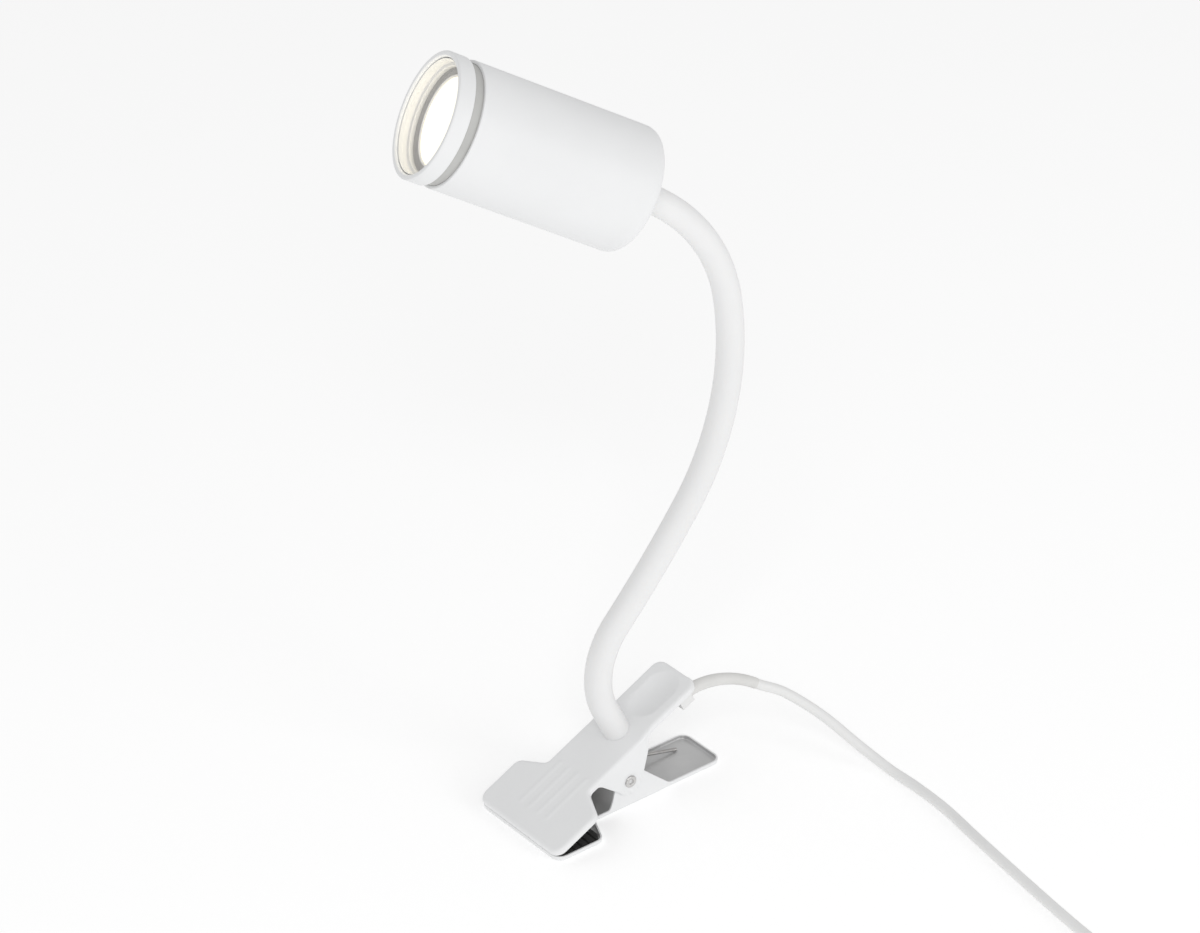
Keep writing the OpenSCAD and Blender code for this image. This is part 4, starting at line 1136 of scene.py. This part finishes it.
class LAMP_OT_head(bpy.types.Operator):
    """Turns the housing, the groove sleeve, the front ring and the baffle"""
    bl_idname = "reading_lamp.head"
    bl_label = "Head"

    def execute(self, context):
        head = settings("head")
        r, length, wall = head.diameter / MM / 2, head.length / MM, head.wall / MM
        ring_start = length - head.ring / MM
        housing = ring_start - head.groove / MM
        groove = r - head.groove_depth / MM
        baffle = groove - 2.2
        bore = 4.85
        place = head_frame()
        corner = head.corner / MM
        paint = FINISHES["head_paint"]
        shell = lathe("head_shell", [
            (bore, 0, 0.2), (r, 0, corner), (r, housing, 0.45), (r - wall, housing, 0.3),
            (r - wall, wall, corner - wall), (bore, wall, 0.1)], paint, place, 192, 10, 28)
        on_body(shell, "head", "head_paint", "head_housing")
        sleeve = lathe("groove_sleeve", [
            (groove, housing - 12, 0.1), (groove, ring_start + 4, 0.1), (groove - 1.2, ring_start + 4, 0.1),
            (groove - 1.2, housing - 12, 0.1)], FINISHES["groove_grey"], place, 160)
        on_body(sleeve, "head", "groove_grey", "joining_sleeve")
        inner = baffle + 1.2
        front = lathe("front_ring", [
            (groove + 0.05, ring_start, 0.1), (r, ring_start, 0.45), (r, length, 0.7), (r - 2, length, 0.5),
            (inner, length - 0.8, 0.25), (inner, ring_start + 4.15, 0.1),
            (groove + 0.05, ring_start + 4.15, 0.1)], paint, place, 192, 6, 28)
        on_body(front, "head", "head_paint", "front_ring")
        lamp_r, front_z = head.lamp_diameter / MM / 2, length - head.lamp_depth / MM
        top, bottom, rim = length - 1.4, front_z + 0.1, baffle + 0.9
        trim = lathe("baffle", [
            (rim, bottom, 0.15), (rim, top, 0.25), (rim - 0.2, top, 0.1), (lamp_r - 0.2, top - 1.6, 0.3),
            (lamp_r - 0.2, bottom + 2.2, 0.35), (lamp_r - 1.6, bottom + 2.2, 0.3),
            (lamp_r - 1.6, bottom, 0.2)], FINISHES["baffle_white"], place, 176, 5, 28)
        on_body(trim, "head", "baffle_white", "lamp_baffle")
        return {"FINISHED"}


class LAMP_OT_lamp(bpy.types.Operator):
    """Makes the lamp with its glowing lens, and the light that it gives"""
    bl_idname = "reading_lamp.lamp"
    bl_label = "Lamp"

    def execute(self, context):
        head = settings("head")
        place = head_frame()
        r, front = head.lamp_diameter / MM / 2, (head.length - head.lamp_depth) / MM
        lens = head.lens_radius / MM
        base = front - 46
        body = lathe("lamp_body", [
            (0, base, 0), (13, base, 1.2), (13, front - 32, 0.6), (14.5, front - 32, 1.0), (r, front - 6, 3),
            (r, front, 0.5), (r - 1.2, front, 0.4), (r - 1.2, front - 2, 0.4), (0, front - 2, 0)],
            FINISHES["lamp_plastic"], place, 128, 5, 28)
        on_body(body, "head", "lamp_plastic", "lamp_body")
        glow = lathe("lens", [
            (0, front - 2, 0), (lens, front - 2, 0.2), (lens, front - 1.0, 0.45),
            (lens * 0.6, front - 0.75, 8), (0, front - 0.7, 0)], FINISHES["lens"], place, 96, 5, 40)
        on_body(glow, "head", "lens", "lamp_lens")
        ring = lathe("lens_rim", [
            (lens + 0.05, front - 2, 0.05), (lens + 0.9, front - 2, 0.1), (lens + 0.9, front - 0.4, 0.3),
            (lens + 0.05, front - 0.4, 0.3)], FINISHES["baffle_white"], place, 128, 4, 28)
        on_body(ring, "head", "baffle_white", "lens_ring")

        data = bpy.data.lights.new("Lamp light", "AREA")
        data.shape, data.size, data.energy = "DISK", 0.036, 0.006
        data.color = tuple(settings("finish").glow)
        light = collect(bpy.data.objects.new("Lamp light", data))
        aim = place.to_3x3() @ Vector((0, 0, 1))
        light.location = (place @ Vector((0, 0, front + 0.2))) * MM
        light.rotation_euler = aim.to_track_quat("-Z", "Y").to_euler()
        return {"FINISHED"}


# ---------- cord ----------

CORD_ROUTE = [
    (80, -27, 35), (92.5, -38.5, 23.5), (102, -53, 11), (107, -69, 4), (108.5, -85, 2.5), (107, -106, 2.5),
    (102.5, -132, 2.5), (97, -166, 2.5), (92, -200, 2.5), (89, -228, 2.5), (87.5, -244, 4), (87.5, -255, 6)]
SWITCH_LENGTH = 58
COIL_START = (87.5, -349)
PLUG_REAR = (15.2, -381.3, 6.8)
# Places in the bundle that the turns take one after another, as (column, layer)
COIL_PLACES = [(1, 0), (0, 0), (-1, 0), (-1, 1), (-1, 2), (0, 2), (0, 1), (1, 1), (1, 2)]
COIL_TURNS = 8.25
CROSSING, LEAD, FIRST_CROSSING = 90, 30, 290


def coil_path():
    """Eight and a quarter turns, each crossing into the next place a little earlier than the one before."""
    cord = settings("cord")
    d, mean = cord.diameter / MM, cord.coil_radius / MM
    centre = (COIL_START[0] - mean - d, COIL_START[1])
    points = []
    for degrees in np.arange(0, COIL_TURNS * 360 + 0.1, 6):
        column, layer = COIL_PLACES[0]
        for i in range(1, len(COIL_PLACES)):
            begin = FIRST_CROSSING + (i - 1) * (360 - LEAD)
            share = smoothstep((degrees - begin) / CROSSING)
            step = (COIL_PLACES[i][0] - COIL_PLACES[i - 1][0], COIL_PLACES[i][1] - COIL_PLACES[i - 1][1])
            column, layer = column + share * step[0], layer + share * step[1]
        radius, angle = mean + column * d, -math.radians(float(degrees))
        points.append(Vector((centre[0] + radius * math.cos(angle), centre[1] + radius * math.sin(angle),
                              d / 2 + 0.1 + layer * d)))
    return points


class LAMP_OT_cord(bpy.types.Operator):
    """Lays the cord from its guard along the table, through the switch and its coil to the plug"""
    bl_idname = "reading_lamp.cord"
    bl_label = "Cord"

    def execute(self, context):
        cord = settings("cord")
        tip = guard_frame(GUARD_ROW[0])
        way = tip.to_3x3() @ Vector((0, 0, 1))
        run = hermite([tip.to_translation()] + CORD_ROUTE, way * 14, (0, -11, 1.5), 8)
        end = run[-1]
        switch = [end + Vector((0, -SWITCH_LENGTH * k / 8, 0)) for k in range(1, 9)]
        coil = coil_path()
        link = hermite([switch[-1], coil[0]], (0, -36, 0), (0, -36, 0), 14)[1:-1]
        tail = hermite([coil[-1], PLUG_REAR], (-40, 0, 0), (-40, 0, 0), 14)[1:]
        path = run + switch + link + coil + tail
        sheath = tube("cord", path, cord.diameter / MM / 2, FINISHES["cord_white"], 20)
        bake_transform(sheath)
        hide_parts("cord_run", "cord_link", "cord_coil", "cord_tail")
        on_body(softened("cord_tie", ["coil_tie"], FINISHES["tie_black"], 0.25), "lower_half", "tie_black",
                "coil_tie")
        return {"FINISHED"}


class LAMP_OT_guard(bpy.types.Operator):
    """Moulds the tapered guard of the cord and the saddle that holds it"""
    bl_idname = "reading_lamp.guard"
    bl_label = "Cord Guard"

    def execute(self, context):
        cord = settings("cord")
        length, root = GUARD_ROW[0], cord.guard / MM / 2
        tip = cord.diameter / MM / 2 + 0.18
        count = 84
        path = [guard_frame(length * k / count).to_translation() for k in range(count + 1)]
        radii = []
        for k in range(count + 1):
            share = k / count
            radii.append(root + (tip - root) * smoothstep((share - 0.3) / 0.7))
        radii[-1] -= 0.12
        guard = tube("cord_guard_sleeve", path, radii, FINISHES["guard_grey"], 28)
        on_body(guard, "upper_half", "guard_grey", "cord_guard")
        saddle = softened("cord_saddle", ["cord_clamp"], FINISHES["plug_white"], 0.4)
        on_body(saddle, "upper_half", "clip_paint", "cord_clamp")
        return {"FINISHED"}


# ---------- switch and plug ----------

class LAMP_OT_switch(bpy.types.Operator):
    """Moulds the cord switch with its rocker and screws"""
    bl_idname = "reading_lamp.switch"
    bl_label = "Cord Switch"

    def execute(self, context):
        shell = softened("switch_shell", ["switch_base", "switch_cover"], FINISHES["plug_white"], 0.6)
        on_body(shell, "lower_half", "plug_white", "switch_base", "switch_cover")
        key = softened("switch_key", ["switch_rocker"], FINISHES["rocker_grey"], 0.45)
        on_body(key, "rocker", "rocker_grey", "switch_rocker")
        y = CORD_ROUTE[-1][1] - SWITCH_LENGTH / 2
        places = [(CORD_ROUTE[-1][0] + 7, y + side * (SWITCH_LENGTH / 2 - 8), 1.0) for side in (-1, 1)]
        heads = screw_heads("switch_heads", places, (0, 0, -1), 2.3, 1.2)
        on_body(heads, "lower_half", "steel")
        return {"FINISHED"}


def screw_heads(name, places, facing, radius, height):
    """Screw heads at places, all facing one way, grown from a tiny upward patch at each."""
    if "cross_screws_tree" not in TREES:
        TREES["cross_screws_tree"] = cross_screws_tree()
    tree = TREES["cross_screws_tree"]
    facing = Vector(facing)
    side = facing.orthogonal().normalized()
    other = facing.cross(side)
    points, faces = [], []
    for place in places:
        faces.append(list(range(len(points), len(points) + 3)))
        points += [Vector(place) + 1e-3 * (math.cos(a) * side + math.sin(a) * other)
                   for a in (0, math.tau / 3, 2 * math.tau / 3)]
    mesh = bpy.data.meshes.new(name)
    mesh.from_pydata([p * MM for p in points], [], faces)
    obj = collect(bpy.data.objects.new(name, mesh))
    modifier = obj.modifiers.new(tree.name, "NODES")
    modifier.node_group = tree
    values = {"Head Radius": radius * MM, "Head Height": height * MM, "Material": FINISHES["steel"]}
    for item in tree.interface.items_tree:
        if item.in_out == "INPUT" and item.name in values:
            modifier[item.identifier] = values[item.name]
    return dressed(applied(obj), FINISHES["steel"], 30)


class LAMP_OT_plug(bpy.types.Operator):
    """Moulds the plug and its pins"""
    bl_idname = "reading_lamp.plug"
    bl_label = "Plug"

    def execute(self, context):
        body = softened("plug", ["plug_body"], FINISHES["plug_white"], 0.5)
        on_body(body, "lower_half", "plug_white", "plug_body")
        pins = softened("plug_pin_pair", ["plug_pins"], FINISHES["steel"], 0.3)
        on_body(pins, "lower_half", "steel", "plug_pins")
        return {"FINISHED"}


class LAMP_PT_panel(bpy.types.Panel):
    """Lists the lamp's pieces in the sidebar"""
    bl_idname = "LAMP_PT_panel"
    bl_label = "Reading Lamp"
    bl_space_type = "VIEW_3D"
    bl_region_type = "UI"
    bl_category = "Reading Lamp"

    def draw(self, context):
        for name in GROUPS_OF_SIZES:
            box = self.layout.box()
            box.label(text=name.title())
            group = settings(name)
            for key in group.__annotations__:
                box.prop(group, key)
        for operator in OPERATORS:
            self.layout.operator(operator.bl_idname)


GROUPS_OF_SIZES = {"clip": ClipSizes, "neck": NeckSizes, "head": HeadSizes, "cord": CordSizes,
                   "finish": Finishes, "stage": StageSizes}
OPERATORS = [LAMP_OT_finishes, LAMP_OT_stage, LAMP_OT_clip, LAMP_OT_pivot, LAMP_OT_neck, LAMP_OT_head,
             LAMP_OT_lamp, LAMP_OT_guard, LAMP_OT_switch, LAMP_OT_plug, LAMP_OT_cord]


def register():
    for name, group in GROUPS_OF_SIZES.items():
        bpy.utils.register_class(group)
        setattr(bpy.types.Scene, "reading_lamp_" + name, bpy.props.PointerProperty(type=group))
    for item in OPERATORS + [LAMP_PT_panel]:
        bpy.utils.register_class(item)


def unregister():
    for item in reversed(OPERATORS + [LAMP_PT_panel]):
        bpy.utils.unregister_class(item)
    for name, group in reversed(GROUPS_OF_SIZES.items()):
        delattr(bpy.types.Scene, "reading_lamp_" + name)
        bpy.utils.unregister_class(group)


def main():
    register()
    ops = bpy.ops.reading_lamp
    for step in (ops.finishes, ops.stage, ops.clip, ops.pivot, ops.neck, ops.head, ops.lamp, ops.guard,
                 ops.switch, ops.plug, ops.cord):
        step()


if __name__ == "__main__":
    main()
